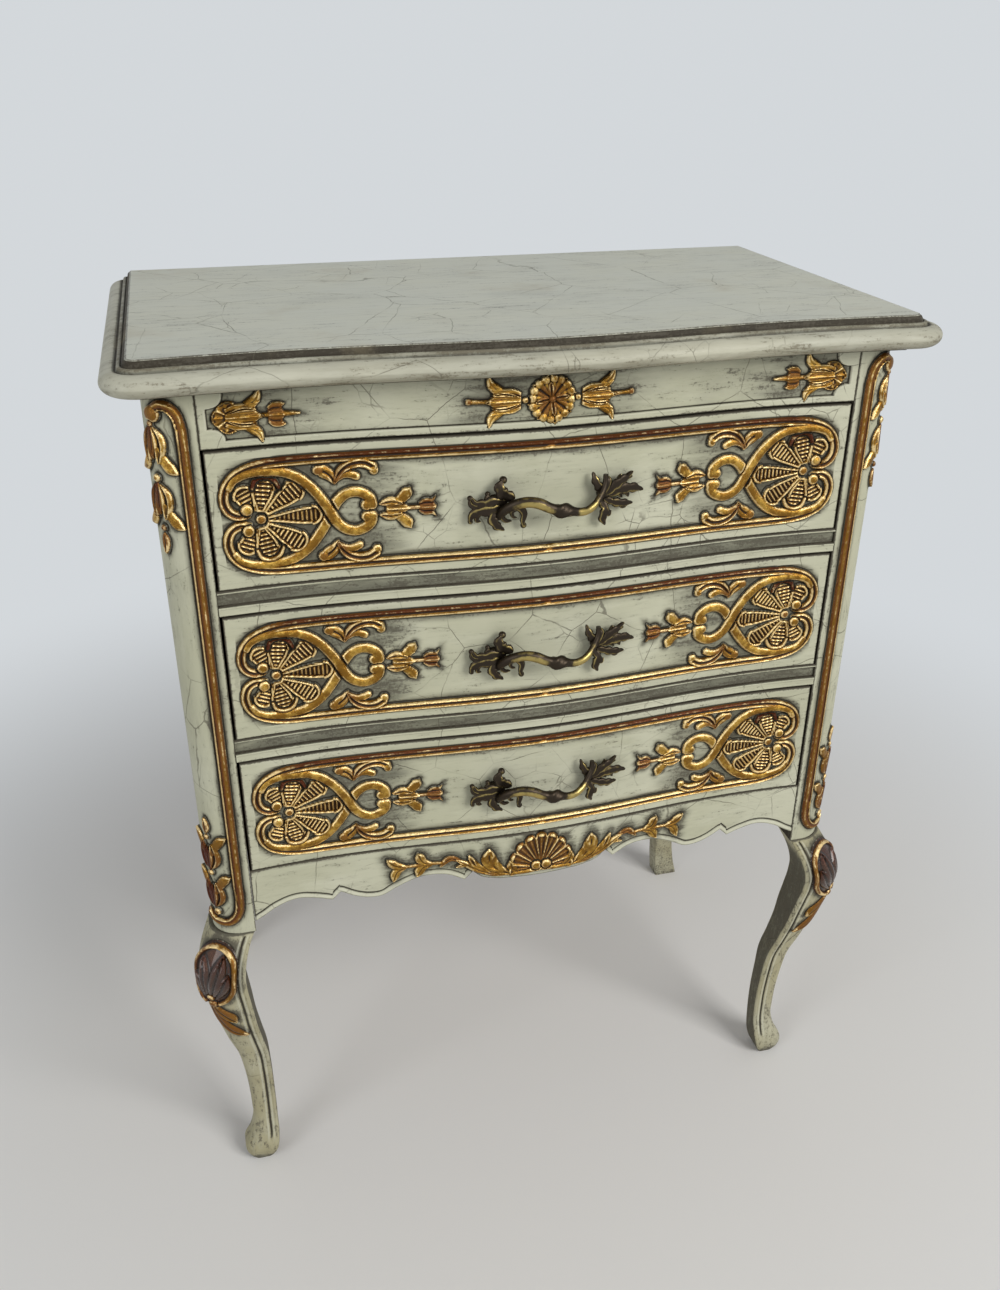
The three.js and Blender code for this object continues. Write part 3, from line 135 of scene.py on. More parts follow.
class ChestColours(bpy.types.PropertyGroup):
    """Colours of the finishes, in linear light."""

    paint: colour_property("Paint", "Sage paint on the case", (0.46, 0.46, 0.335))
    # The pale paint below serves for chalky, rubbed patches and also as painted highlights on crests and lips.
    paint_pale: colour_property("Pale paint", "Rubbed, chalky paint", (0.60, 0.60, 0.48))
    # The top's paint below is lighter and bluer than the case's: a painted sheen of reflected light over the paint.
    top_paint_and_sheen: colour_property("Top paint", "Paint on the top", (0.56, 0.575, 0.49))
    # The legs' paint below is darker and browner than the case's: worn paint, and painted shade with warm bounced
    # light.
    leg_paint_and_shade: colour_property("Leg paint", "Darker, browner paint on the legs", (0.375, 0.345, 0.215))
    # The next colour is grey-green glaze, and also painted shade that darkens the ground round the carving and at the
    # gaps.
    glaze_and_shade: colour_property("Glaze", "Grey-green glaze rubbed into the ground", (0.110, 0.108, 0.078))
    # Painted shade: the next colour darkens the foot of the carving, the hollows, and the deepest gaps and grooves.
    recess_shade: colour_property("Recess", "Dark line along the foot of the carving", (0.020, 0.015, 0.009))
    scuff: colour_property("Scuff", "Dark scratches and rubbed edges", (0.085, 0.075, 0.055))
    crack: colour_property("Crack", "Dirt in the cracks", (0.105, 0.095, 0.070))
    stain: colour_property("Stain", "Brown stains on the top", (0.36, 0.305, 0.185))
    gold: colour_property("Gold", "Gilding", (0.56, 0.335, 0.065))
    gold_dull: colour_property("Dull gold", "Rubbed, shaded gilding", (0.25, 0.122, 0.019))
    # The pale gold below is a painted highlight on the crests of the gilding, mixed with bright spots at random.
    gold_pale: colour_property("Pale gold", "Rubbed crests of the gilding", (0.93, 0.71, 0.35))
    amber: colour_property("Amber", "Brown varnish over the gold", (0.195, 0.078, 0.014))
    bole: colour_property("Bole", "Red-brown clay under the gold", (0.085, 0.016, 0.007))
    # The umber below is painted shade in the hollows of the gilding, and the dark lacquer inside the knee's shell.
    umber: colour_property("Umber", "Dark toning in the hollows of the gilding", (0.020, 0.009, 0.004))
    bronze: colour_property("Bronze", "Dark patina of the pulls", (0.045, 0.034, 0.024))
    # Brass shows rubbed metal and painted highlights on the pulls.
    brass: colour_property("Brass", "Rubbed metal of the pulls", (0.46, 0.35, 0.12))
    beech: colour_property("Beech", "Bare wood inside", (0.46, 0.30, 0.16))
    plywood: colour_property("Plywood", "Drawer bottoms and back", (0.50, 0.36, 0.21))
    steel: colour_property("Steel", "Screws and bolts", (0.42, 0.42, 0.41))
    floor: colour_property("Floor", "Floor", (0.78, 0.775, 0.76))
    backdrop: colour_property("Backdrop", "Backdrop behind the chest", (0.655, 0.685, 0.71))


def size(name):
    """A size setting, in millimetres."""
    return getattr(bpy.context.scene.chest_sizes, name) / MM


# Curves and meshes woven from grids of points
def hermite(places, values, slopes, at):
    """Smooth values, or points, between known ones with known slopes."""
    k = np.clip(np.searchsorted(places, at, side="right") - 1, 0, len(places) - 2)
    h = places[k + 1] - places[k]
    x = (at - places[k]) / h
    if values.ndim > 1:
        h, x = h[:, None], x[:, None]
    start = (1 + 2 * x) * (1 - x) ** 2 * values[k] + x * (1 - x) ** 2 * h * slopes[k]
    return start + x * x * (3 - 2 * x) * values[k + 1] + x * x * (x - 1) * h * slopes[k + 1]


def spline(points, count):
    """Points evenly spaced along a smooth curve through the given ones."""
    p = np.asarray(points, float)
    t = np.concatenate([[0.0], np.cumsum(np.linalg.norm(np.diff(p, axis=0), axis=1))])
    slopes = np.gradient(p, t, axis=0) if len(p) > 2 else np.repeat((p[1:] - p[:1]) / t[-1], 2, axis=0)
    return hermite(t, p, slopes, np.linspace(0.0, t[-1], count))


def curve_through(places, values, at):
    """Smooth values between a few known ones."""
    places, values = np.asarray(places, float), np.asarray(values, float)
    return hermite(places, values, np.gradient(values, places), np.clip(at, places[0], places[-1]))


def bell(value, centre, width):
    """Rises smoothly to 1 at the centre and falls to nothing on both sides."""
    return np.exp(-(((value - centre) / width) ** 2))


def ease(value, low, high):
    """Goes smoothly from 0 at low to 1 at high."""
    x = np.clip((value - low) / (high - low), 0.0, 1.0)
    return x * x * (3 - 2 * x)


def stations(*spans):
    """Places along a line: each span is (end, step), from the first number on."""
    start, spans = spans[0], spans[1:]
    places = [np.array([start])]
    for end, step in spans:
        count = max(1, int(round(abs(end - start) / step)))
        places.append(np.linspace(start, end, count + 1)[1:])
        start = end
    return np.concatenate(places)


def woven(name, points, masks=None, back=None):
    """A closed mesh from a grid of points in millimetres: a slab with a back, or else a tube whose ends meet."""
    rows, columns = points.shape[:2]
    bm = bmesh.new()
    bmesh.ops.create_grid(bm, x_segments=columns - 1, y_segments=rows - 1, size=1.0)
    if back is not None:
        walls = bmesh.ops.extrude_edge_only(bm, edges=[e for e in bm.edges if e.is_boundary])["geom"]
        rim = [g for g in walls if isinstance(g, bmesh.types.BMVert)]
        bmesh.ops.translate(bm, verts=rim, vec=(0.0, 0.0, -1.0))
        bmesh.ops.contextual_create(bm, geom=[e for e in bm.edges if e.is_boundary])
    mesh = bpy.data.meshes.new(name)
    bm.to_mesh(mesh)
    bm.free()
    flat = np.empty(len(mesh.vertices) * 3)
    mesh.vertices.foreach_get("co", flat)
    flat = flat.reshape(-1, 3)
    i = np.rint((flat[:, 0] + 1) / 2 * (columns - 1)).astype(int)
    j = np.rint((flat[:, 1] + 1) / 2 * (rows - 1)).astype(int)
    placed = points[j, i]
    if back is not None:
        placed = np.where(flat[:, 2:] < -0.5, back[j, i], placed)
    mesh.vertices.foreach_set("co", (placed * MM).ravel())
    for mask, values in (masks or {}).items():
        layer = mesh.attributes.new(mask, "FLOAT", "POINT")
        layer.data.foreach_set("value", values[j, i].astype(np.float32))
    bm = bmesh.new()
    bm.from_mesh(mesh)
    if back is None:
        bmesh.ops.remove_doubles(bm, verts=bm.verts, dist=0.02 * MM)
        bmesh.ops.holes_fill(bm, edges=[e for e in bm.edges if e.is_boundary], sides=0)
    bmesh.ops.recalc_face_normals(bm, faces=bm.faces)
    bm.to_mesh(mesh)
    bm.free()
    return mesh


def joined(name, meshes):
    """One mesh from several."""
    bm = bmesh.new()
    for mesh in meshes:
        bm.from_mesh(mesh)
        bpy.data.meshes.remove(mesh)
    whole = bpy.data.meshes.new(name)
    bm.to_mesh(whole)
    bm.free()
    return whole


def mirrored(name, mesh):
    """The other side's mesh."""
    bm = bmesh.new()
    bm.from_mesh(mesh)
    bmesh.ops.scale(bm, vec=(-1.0, 1.0, 1.0), verts=bm.verts)
    bmesh.ops.reverse_faces(bm, faces=bm.faces)
    other = bpy.data.meshes.new(name)
    bm.to_mesh(other)
    bm.free()
    return other


def add_piece(mesh, material, body, node, smooth=40.0):
    """Puts a finished mesh into the scene, on its body and in place of its part."""
    piece = bpy.data.objects.new(mesh.name, mesh)
    bpy.context.scene.collection.objects.link(piece)
    mesh.materials.append(material)
    mesh.shade_smooth()
    mesh.set_sharp_from_angle(angle=math.radians(smooth))
    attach(piece, body)
    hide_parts(node)


def add_pair(name, points, masks, material, node):
    """Adds a piece on the right and its mirror image on the left."""
    right = woven(f"{name}_right", points, masks)
    left = mirrored(f"{name}_left", right)
    add_piece(right, material, "carcase", f"{node}_right")
    add_piece(left, material, "carcase", f"{node}_left")


def levels(points, zs):
    """A grid from sections (x, y), one on each level, or one for all."""
    points = np.broadcast_to(points, (len(zs), *np.shape(points)[-2:]))
    return np.concatenate([points, np.repeat(zs[:, None, None], points.shape[1], 1)], axis=-1)


def front_y(x, forward=0.0):
    """Depth of the waving front at x, moved forward by a height."""
    return FRONT_LINE - size("wave") * np.cos(2 * np.pi * x / size("wave_length")) - forward


def on_front(u, v, height, back):
    """Grids of the face and of the flat back of a board on the waving front."""
    return np.stack([u, front_y(u, height), v], axis=-1), np.stack([u, np.full(u.shape, float(back)), v], axis=-1)


def blurred(field, reach):
    """The field, averaged over reach cells on every side."""
    for axis in (0, 1):
        pad = [(0, 0), (0, 0)]
        pad[axis] = (reach + 1, reach)
        total = np.cumsum(np.pad(field, pad, mode="edge"), axis=axis)
        count, width = total.shape[axis], 2 * reach + 1
        field = (np.take(total, range(width, count), axis) - np.take(total, range(count - width), axis)) / width
    return field


# Carving, laid on a field stroke by stroke
class Carving:
    """Height, gilding, redness, grime with painted shade, and pale lips that carry painted highlights, of a carved
    field, over coordinates in millimetres.
    """

    MARGIN = 0.4  # how far a form spreads past its drawn width
    MOAT = 1.3, 0.7  # width of the furrow round a form that crosses others, and how high its floor stands
    REACH = 12.0  # how far the grime and painted shade round a form are followed

    def __init__(self, u, v, ground=0.0, spread=4.0):
        self.u, self.v, self.ground, self.spread = u, v, ground, spread
        self.relief = size("relief")
        self.height = np.full(u.shape, float(ground))
        self.gilt, self.red, self.grime_and_shade, self.pale = (np.zeros(u.shape) for _ in range(4))

    def darken(self, grime_and_shade):
        """Adds grime and painted shade where there is less."""
        self.grime_and_shade = np.maximum(self.grime_and_shade, grime_and_shade)

    def sink(self, depth, faintest):
        """Lowers the ground where the grime and painted shade are strong."""
        self.height -= depth * ease(self.grime_and_shade, faintest, 0.95) * (self.gilt < 0.3)

    def near(self, path, reach):
        """Where the field lies within reach of a path."""
        low, high = path.min(0) - reach, path.max(0) + reach
        return np.nonzero((self.u > low[0]) & (self.u < high[0]) & (self.v > low[1]) & (self.v < high[1]))

    def measure(self, path, where):
        """Distance to the path, and way along it from 0 to 1."""
        u, v = self.u[where], self.v[where]
        distance, along = np.full(u.shape, 1e9), np.zeros(u.shape)
        steps = np.linalg.norm(np.diff(path, axis=0), axis=1)
        done = np.concatenate([[0.0], np.cumsum(steps)])
        for k, step in enumerate(steps):
            a, d = path[k], path[k + 1] - path[k]
            t = np.clip(((u - a[0]) * d[0] + (v - a[1]) * d[1]) / (step * step), 0.0, 1.0)
            gap = np.hypot(u - a[0] - t * d[0], v - a[1] - t * d[1])
            closer = gap < distance
            distance[closer] = gap[closer]
            along[closer] = (done[k] + t * step)[closer] / done[-1]
        return distance, along

    def lay(self, where, past, rise, red, over=False):
        """Lays a form whose edge is past millimetres away, and stands by rise times the relief where it covers."""
        inside = past < 0
        height = self.height[where]
        if over:
            moat = (past >= 0) & (past < self.MOAT[0])
            height = np.where(moat, np.minimum(height, self.ground + self.MOAT[1]), height)
            self.gilt[where] = np.where(moat, self.gilt[where] * 0.3, self.gilt[where])
        raised = np.where(inside, self.ground + self.relief * rise, height)
        takes = inside & ((raised >= height) | over)
        self.height[where] = np.where(takes, raised, height)
        self.red[where] = np.where(takes, red, self.red[where])
        self.gilt[where] = np.maximum(self.gilt[where], ease(-past, -0.2, 0.4))
        # Round each form the ground gets a halo of grime and painted shade, fading with distance.
        self.grime_and_shade[where] = np.maximum(self.grime_and_shade[where], np.exp(-np.maximum(past, 0.0) / self.spread))

    def ribbon(self, points, widths, rise, form="double", red=0.2, over=False, steps=48, fade=0.0):
        """A strap along a curve: double has two ridges, flat a soft face, round a half-round one."""
        path = spline(points, steps)
        where = self.near(path, 1.5 * self.REACH)
        distance, along = self.measure(path, where)
        widths = np.atleast_1d(widths)
        half = np.interp(along, np.linspace(0, 1, len(widths)), widths) / 2 + self.MARGIN
        r = np.clip(distance / half, 0.0, 1.0)
        red = red + fade * (1 - along)
        if form == "double":
            shape = (1 - r**6) ** 0.5 * (0.70 - 0.30 * np.cos(2 * np.pi * r * 0.92))
            red = red + 0.40 * bell(r, 0.0, 0.42)
        elif form == "flat":
            shape = (1 - r**5) ** 0.5 * (0.90 + 0.10 * np.cos(np.pi * r))
        else:
            shape = (1 - r * r) ** 0.5
        self.lay(where, distance - half, rise * shape, red, over=over)

    def ball(self, centre, radius, rise, red=0.1, over=True):
        """A small dome."""
        path = np.array([centre, [centre[0] + 1e-3, centre[1]]])
        where = self.near(path, radius + self.REACH)
        distance = np.hypot(self.u[where] - centre[0], self.v[where] - centre[1])
        r = np.clip(distance / radius, 0.0, 1.0)
        self.lay(where, distance - radius, rise * (0.35 + 0.65 * (1 - r * r) ** 0.5), red, over=over)

    def leaf(self, points, width, rise, blunt=0.5, vein=0.35, red=0.25, ribs=0, over=False):
        """A leaf along a curve, widest at blunt of its length, with a sunk vein."""
        path = spline(points, 24)
        where = self.near(path, width + self.REACH)
        distance, along = self.measure(path, where)
        swell = np.where(along < blunt, along / blunt, (1 - along) / (1 - blunt))
        half = width / 2 * (0.16 + 0.84 * np.sin(np.pi / 2 * np.clip(swell, 0, 1)) ** 0.8) + self.MARGIN
        r = np.clip(distance / half, 0.0, 1.0)
        shape = (1 - r * r) ** 0.5 * (1 - vein * bell(r, 0.0, 0.24))
        if ribs:
            shape = shape * (0.80 + 0.20 * np.cos(2 * np.pi * (along * ribs - 0.8 * r)))
        self.lay(where, distance - half, rise * shape * (0.72 + 0.28 * along), red + 0.32 * (0.7 - along), over=over)

    def lobe(self, root, tip, width, rise, pitch=3.5, red=0.3):
        """A palmette lobe: a raised rim round a sunk field with rungs across it."""
        path = spline([root, tip], 12)
        where = self.near(path, width + self.REACH)
        length = math.dist(root, tip)
        axis = ((tip[0] - root[0]) / length, (tip[1] - root[1]) / length)
        s = (self.u[where] - root[0]) * axis[0] + (self.v[where] - root[1]) * axis[1]
        across = np.abs((self.v[where] - root[1]) * axis[0] - (self.u[where] - root[0]) * axis[1])
        cap = length - width * 0.55
        half = width / 2 * (0.30 + 0.70 * ease(s, -0.1 * length, cap))
        past = np.where(s < cap, across - half, np.hypot(across, s - cap) / 1.05 - width / 2 * (1 + 0.1 * (s > cap)))
        past = np.maximum(past, -s)
        depth = np.maximum(-past, 0.0)
        rim = np.exp(-(((depth - 1.25) / 1.30) ** 4))
        rungs = (0.5 + 0.5 * np.cos(2 * np.pi * s / pitch)) ** 1.3 * ease(depth, 2.3, 3.4)
        field = 0.12 + 0.62 * rungs
        self.lay(where, past, rise * np.maximum(rim, field * ease(depth, 0.0, 1.2)),
                 red + (0.30 - 0.65 * rungs) * (depth > 2.4))

    def cup(self, root, tip, halves, rise, red=0.2, notch=0.22):
        """A bell or tulip: three fluted petals from a root to a mouth, as wide along its way as halves say."""
        path = spline([root, tip], 8)
        where = self.near(path, max(halves) + self.REACH)
        length = math.dist(root, tip)
        axis = ((tip[0] - root[0]) / length, (tip[1] - root[1]) / length)
        du, dv = self.u[where] - root[0], self.v[where] - root[1]
        s, across = du * axis[0] + dv * axis[1], np.abs(dv * axis[0] - du * axis[1])
        half = curve_through(np.linspace(0.0, length, len(halves)), halves, s) + self.MARGIN
        r = np.clip(across / half, 0.0, 1.0)
        petal = 0.5 + 0.5 * np.cos(2 * np.pi * r)
        past = np.maximum(np.maximum(across - half, s - length * (1 - notch * (1 - petal))), -s)
        shape = 0.34 + 0.44 * petal**0.8 + 0.22 * (0.5 + 0.5 * np.cos(6 * np.pi * r))
        shape = shape * ease(-past, -0.6, 1.4) ** 0.6 * (0.8 + 0.2 * s / length)
        self.lay(where, past, rise * shape, red + 0.35 * (1 - petal))

    def fan(self, centre, radii, flutes, rise, spread_deg, turn_deg=90.0, red=0.3, hub=0.14):
        """A shell: hollow flutes with thin ridges between them, from a point to a curled, scalloped rim."""
        du, dv = self.u - centre[0], self.v - centre[1]
        r = np.hypot(du / radii[0], dv / radii[1])
        angle = np.degrees(np.arctan2(dv / radii[1], du / radii[0])) - turn_deg
        angle = (angle + 180) % 360 - 180
        turn = angle / spread_deg * flutes + (flutes % 2 == 0) * 0.5
        scallop = 0.88 + 0.12 * np.abs(np.cos(np.pi * turn)) ** 0.6
        past = np.maximum((r - scallop) * min(radii), (np.abs(angle) - spread_deg / 2) * np.pi / 180 * r * min(radii))
        where = np.nonzero(past < 14.0)
        past, r, turn = past[where], r[where], turn[where]
        away = (turn + 0.5) % 1 - 0.5
        ridge = bell(np.abs(away), 0.5, 0.13) + 0.45 * bell(away, 0.0, 0.09) * ease(r, 0.3, 0.5)
        rim = bell(r - scallop[where], -0.07, 0.055) * (0.55 + 0.45 * np.cos(2 * np.pi * away))
        body = (0.24 + 0.56 * ridge * ease(r, hub, 0.4)) * (0.55 + 0.45 * r)
        shape = np.maximum(body, rim) * ease(-past, 0.0, 1.2) ** 0.5
        self.lay(where, past, rise * shape, red + 0.45 * (1 - ridge) * (rim < 0.4))


def edge_ease(u, low, high, reach=1.4, drop=1.1):
    """How far a board's face falls away at its two ends."""
    gap = np.minimum(u - low, high - u)
    return -drop * (1 - np.clip(gap / reach, 0.0, 1.0)) ** 2


def masks_of(carving, edge=None):
    """The attributes that the paint reads; hollows and crests lie below or above the face's soft average, and give
    painted shade and painted highlights.
    """
    soft = blurred(blurred(carving.height, 1), 1)
    wide = blurred(blurred(carving.height, 3), 3)
    return {
        "gilt": carving.gilt,
        "red": carving.red,
        "grime_and_shade": carving.grime_and_shade,
        "edge": np.zeros(carving.gilt.shape) if edge is None else edge,
        # Hollow gives painted shade at the foot of forms and in hollows; crest, with the pale lips, gives painted
        # highlights.
        "hollow": np.clip((soft - carving.height) / 0.62 + (wide - carving.height) / 6.0, 0.0, 1.0),
        "crest": np.clip((carving.height - soft) / 0.38 + carving.pale, 0.0, 1.0),
    }


# Shader building
class Value:
    """A shader socket that adds Math nodes when it is reckoned with."""

    def __init__(self, paint, socket):
        self.paint, self.socket = paint, socket

    def reckon(self, operation, *terms):
        """One Math node over the terms."""
        return self.paint.node("ShaderNodeMath", {"operation": operation}, dict(enumerate(terms)))

    def __add__(self, other):
        return self.reckon("ADD", self, other)

    __radd__ = __add__

    def __sub__(self, other):
        return self.reckon("SUBTRACT", self, other)

    def __rsub__(self, other):
        return self.reckon("SUBTRACT", other, self)

    def __mul__(self, other):
        return self.reckon("MULTIPLY", self, other)

    __rmul__ = __mul__

    def highest(self, other):
        """The greater of the two."""
        return self.reckon("MAXIMUM", self, other)

    def step(self, low, high):
        """Goes smoothly from 0 at low to 1 at high."""
        return self.paint.node("ShaderNodeMapRange", {"interpolation_type": "SMOOTHSTEP"},
                               {"Value": self, "From Min": low, "From Max": high})


class Paint:
    """A material, or a world, under construction."""

    def __init__(self, name, world=None):
        self.material = world or bpy.data.materials.new(name)
        self.material.use_nodes = True
        self.tree = self.material.node_tree
        self.tree.nodes.clear()
        self.place = None if world else self.node("ShaderNodeTexCoord", {}, {}, "Object")

    def node(self, kind, settings, inputs, output=0):
        """One node: its settings are set first, then the values or links of its sockets."""
        node = self.tree.nodes.new(kind)
        for key, value in settings.items():
            setattr(node, key, value)
        for key, value in inputs.items():
            if isinstance(value, Value):
                self.tree.links.new(value.socket, node.inputs[key])
            else:
                node.inputs[key].default_value = value
        return Value(self, node.outputs[output])

    def stretched(self, scale, place=(0.0, 0.0, 0.0)):
        """Object coordinates, stretched and moved."""
        return self.node("ShaderNodeMapping", {}, {"Vector": self.place, "Scale": scale, "Location": place})

    def noise(self, scale, detail=3.0, rough=0.55, stretch=(1.0, 1.0, 1.0), move=(0.0, 0.0, 0.0), warp=0.0):
        """Soft mottling between 0 and 1."""
        return self.node("ShaderNodeTexNoise", {}, {
            "Vector": self.stretched(stretch, move), "Scale": scale, "Detail": detail, "Roughness": rough,
            "Distortion": warp})

    def cracks(self, scale, width, stretch=(1.0, 1.0, 1.0), bend=0.010, move=(0.0, 0.0, 0.0)):
        """Hairline cracks: 1 on a crack, 0 off it."""
        wander = self.node("ShaderNodeTexNoise", {}, {"Vector": self.place, "Scale": 26.0, "Detail": 4.0}, "Color")
        shift = self.node("ShaderNodeVectorMath", {"operation": "SCALE"}, {0: wander, "Scale": bend})
        where = self.node("ShaderNodeVectorMath", {"operation": "ADD"}, {0: self.stretched(stretch, move), 1: shift})
        gap = self.node("ShaderNodeTexVoronoi", {"feature": "DISTANCE_TO_EDGE"}, {
            "Vector": where, "Scale": scale, "Randomness": 1.0})
        return 1 - gap.step(width * 0.4, width)

    def attribute(self, name):
        """A vertex attribute of the piece."""
        return self.node("ShaderNodeAttribute", {"attribute_name": name}, {}, "Fac")

    def mix(self, factor, first, second):
        """A colour between two."""
        first, second = (c if isinstance(c, Value) else (*c, 1.0) for c in (first, second))
        return self.node("ShaderNodeMix", {"data_type": "RGBA"}, {0: factor, 6: first, 7: second}, 2)

    def bump(self, height, strength, distance):
        """Normals raised by a height."""
        return self.node("ShaderNodeBump", {}, {"Height": height, "Strength": strength, "Distance": distance}, "Normal")

    def seen_background(self):
        """1 for the rays that show the background: from the camera, and off metal or through glass."""
        camera, glossy, passed = (self.node("ShaderNodeLightPath", {}, {}, f"Is {kind} Ray")
                                  for kind in ("Camera", "Glossy", "Transmission"))
        return camera.highest(glossy).highest(passed)

    def finish(self, **sockets):
        """Ends in a Principled shader."""
        names = {key.replace("_", " "): value for key, value in sockets.items()}
        return self.end(self.node("ShaderNodeBsdfPrincipled", {}, names))

    def end(self, shader):
        """Links the shader to the material's output."""
        world = isinstance(self.material, bpy.types.World)
        output = self.tree.nodes.new("ShaderNodeOutputWorld" if world else "ShaderNodeOutputMaterial")
        self.tree.links.new(shader.socket, output.inputs["Surface"])
        return self.material


def aged_paint(name, base, crack_scale=15.0, grain=(0.14, 1.0, 1.0), carved=False, stained=False, worn_more=0.0,
               crack_depth=0.7, gloss=0.40):
    """Aged sage paint: brushed, cracked, dark with glaze and painted shade in recesses, rubbed on edges, and gilded
    where carved.
    """
    colours = bpy.context.scene.chest_colours
    paint = Paint(name)
    fine = tuple(g * 0.8 for g in grain)
    streaks = paint.noise(95.0, 5.0, 0.7, grain)
    drags = paint.noise(240.0, 5.0, 0.8, fine, (3.1, 0.7, 1.9))
    specks = paint.noise(420.0, 3.0, 0.65, move=(5.0, 5.0, 5.0))
    patches = paint.noise(8.0, 3.0, 0.6)
    clouds = paint.noise(24.0, 4.0, 0.65, tuple(0.35 + 0.65 * g for g in grain), (7.0, 2.0, 4.0))
    dirt_and_shade, edge = paint.attribute("grime_and_shade"), paint.attribute("edge")
    tone = paint.mix(patches.step(0.36, 0.68) * 0.5, base, colours.paint_pale)
    tone = paint.mix(streaks.step(0.50, 0.74) * 0.35, tone, colours.paint_pale)
    tone = paint.mix(clouds.step(0.48, 0.72) * 0.32, tone, tuple(c * 0.66 for c in base))
    tone = paint.mix(drags.step(0.47, 0.66) * 0.22, tone, tuple(c * 0.55 for c in base))
    # The grime mask tints the paint towards the glaze colour: grime, and painted shade round the carving and at the
    # gaps.
    smudge_and_shade = (dirt_and_shade * (0.60 * clouds + 1.35 * streaks)).step(0.20, 0.78)
    tone = paint.mix(smudge_and_shade * 0.86, tone, colours.glaze_and_shade)
    # Near-black painted shade where the mask is strongest: in gaps, grooves and under the moulding.
    tone = paint.mix((dirt_and_shade + clouds * 0.3).step(1.05, 1.42) * 0.92, tone, tuple(c * 1.5 for c in colours.recess_shade))
    scratched = drags * 0.64 + specks * 0.36 + smudge_and_shade * 0.105 + edge * 0.10 + clouds * 0.14 + worn_more
    scratched = scratched.step(0.640, 0.730)
    tone = paint.mix(scratched * 0.72, tone, colours.scuff)
    if stained:
        blots = paint.noise(11.0, 4.0, 0.6, move=(2.0, 9.0, 0.0)).step(0.56, 0.78) * 0.40
        varnish = dirt_and_shade.step(0.10, 0.34) * (1 - dirt_and_shade.step(0.55, 0.80)) * 0.26
        tone = paint.mix(blots.highest(varnish), tone, colours.stain)
    broken = paint.noise(19.0, 3.0, 0.6, move=(11.0, 3.0, 6.0)).step(0.40, 0.58)
    lines = paint.cracks(crack_scale, crack_scale * 0.00042) * (0.2 + 0.8 * broken)
    hairs = paint.cracks(crack_scale * 2.3, crack_scale * 0.0009, move=(1.7, 5.3, 2.2)) * patches.step(0.50, 0.62)
    cracked = lines.highest(hairs * broken)
    tone = paint.mix(cracked * crack_depth, tone, colours.crack)
    rubbed = (edge * 0.55 + specks * 0.6 + streaks * 0.3).step(0.66, 0.92)
    tone = paint.mix(rubbed * 0.75, tone, colours.scuff)
    rough = gloss + streaks * 0.22 + cracked * 0.2 + dirt_and_shade * 0.22
    height = streaks * 0.35 + drags * 0.3 - cracked * 1.0 - scratched * 0.5 + patches * 0.2
    if not carved:
        return paint.finish(Base_Color=tone, Roughness=rough, Specular_IOR_Level=0.26,
                            Normal=paint.bump(height, 0.5, 0.0006))
    gilt, red, hollow, crest = (paint.attribute(key) for key in ("gilt", "red", "hollow", "crest"))
    # Painted shade at the foot of the carving, from the hollow mask.
    tone = paint.mix((hollow * (0.55 + clouds * 0.9)).step(0.16, 0.72) * 0.90, tone, colours.recess_shade)
    # Painted highlight in pale paint on crests and lips.
    tone = paint.mix(crest * 0.55, tone, colours.paint_pale)
    flecks = paint.noise(170.0, 5.0, 0.75, move=(4.0, 8.0, 6.0))
    blotches = paint.noise(62.0, 4.0, 0.65, move=(1.0, 3.0, 8.0))
    faces = paint.mix((flecks * 0.5 + blotches * 0.5).step(0.45, 0.60), colours.gold_dull, colours.gold)
    bared = (flecks * 0.45 + blotches * 0.45 + red * 0.42).step(0.53, 0.72)
    toned = paint.mix((red + flecks * 0.5).step(0.95, 1.35), colours.amber, colours.bole)
    lacquer = red.step(1.3, 1.6)
    toned = paint.mix(lacquer * 0.70, toned, colours.umber)
    leaf = paint.mix(bared * 0.96, faces, toned)
    shaded = (hollow * 1.15 + flecks * 0.50 - crest * 0.25).step(0.32, 0.84)
    leaf = paint.mix(shaded * 0.97, leaf, colours.umber)
    # Painted highlights in pale gold on the crests, with bright spots at random.
    bright = (crest * 0.50 + flecks * 0.85 + blotches * 0.35 - red * 0.32 - hollow * 0.4).step(0.75, 1.00)
    leaf = paint.mix(bright * 0.84, leaf, colours.gold_pale)
    cover = gilt.step(0.3, 0.7)
    colour = paint.mix(cover, tone, leaf)
    metal = cover * (1 - shaded * 0.8) * (1 - bared * 0.55) * 0.92
    rough = cover * (0.26 + flecks * 0.22 + shaded * 0.16 - red * 0.06) + (1 - cover) * rough
    relief = height * (1 - cover) + cover * (flecks * 2.4 + blotches * 2.8)
    return paint.finish(Base_Color=colour, Roughness=rough, Metallic=metal, Specular_IOR_Level=0.22,
                        Coat_Weight=cover * lacquer, Normal=paint.bump(relief, 0.6, 0.0007))


def bronze_metal():
    """Dark bronze, bright brass where it is rubbed and where highlights are painted."""
    colours = bpy.context.scene.chest_colours
    paint = Paint("bronze_patina")
    polish_and_highlight = paint.attribute("polish_and_highlight")
    blotch = paint.noise(150.0, 4.0, 0.65)
    bright = (polish_and_highlight * 1.0 + blotch * 1.2 - 0.70).step(0.16, 0.80)
    colour = paint.mix(bright, colours.bronze, colours.brass)
    rough = 0.36 - bright * 0.12 + blotch * 0.12
    return paint.finish(Base_Color=colour, Metallic=0.95, Roughness=rough, Normal=paint.bump(blotch, 0.35, 0.0005))


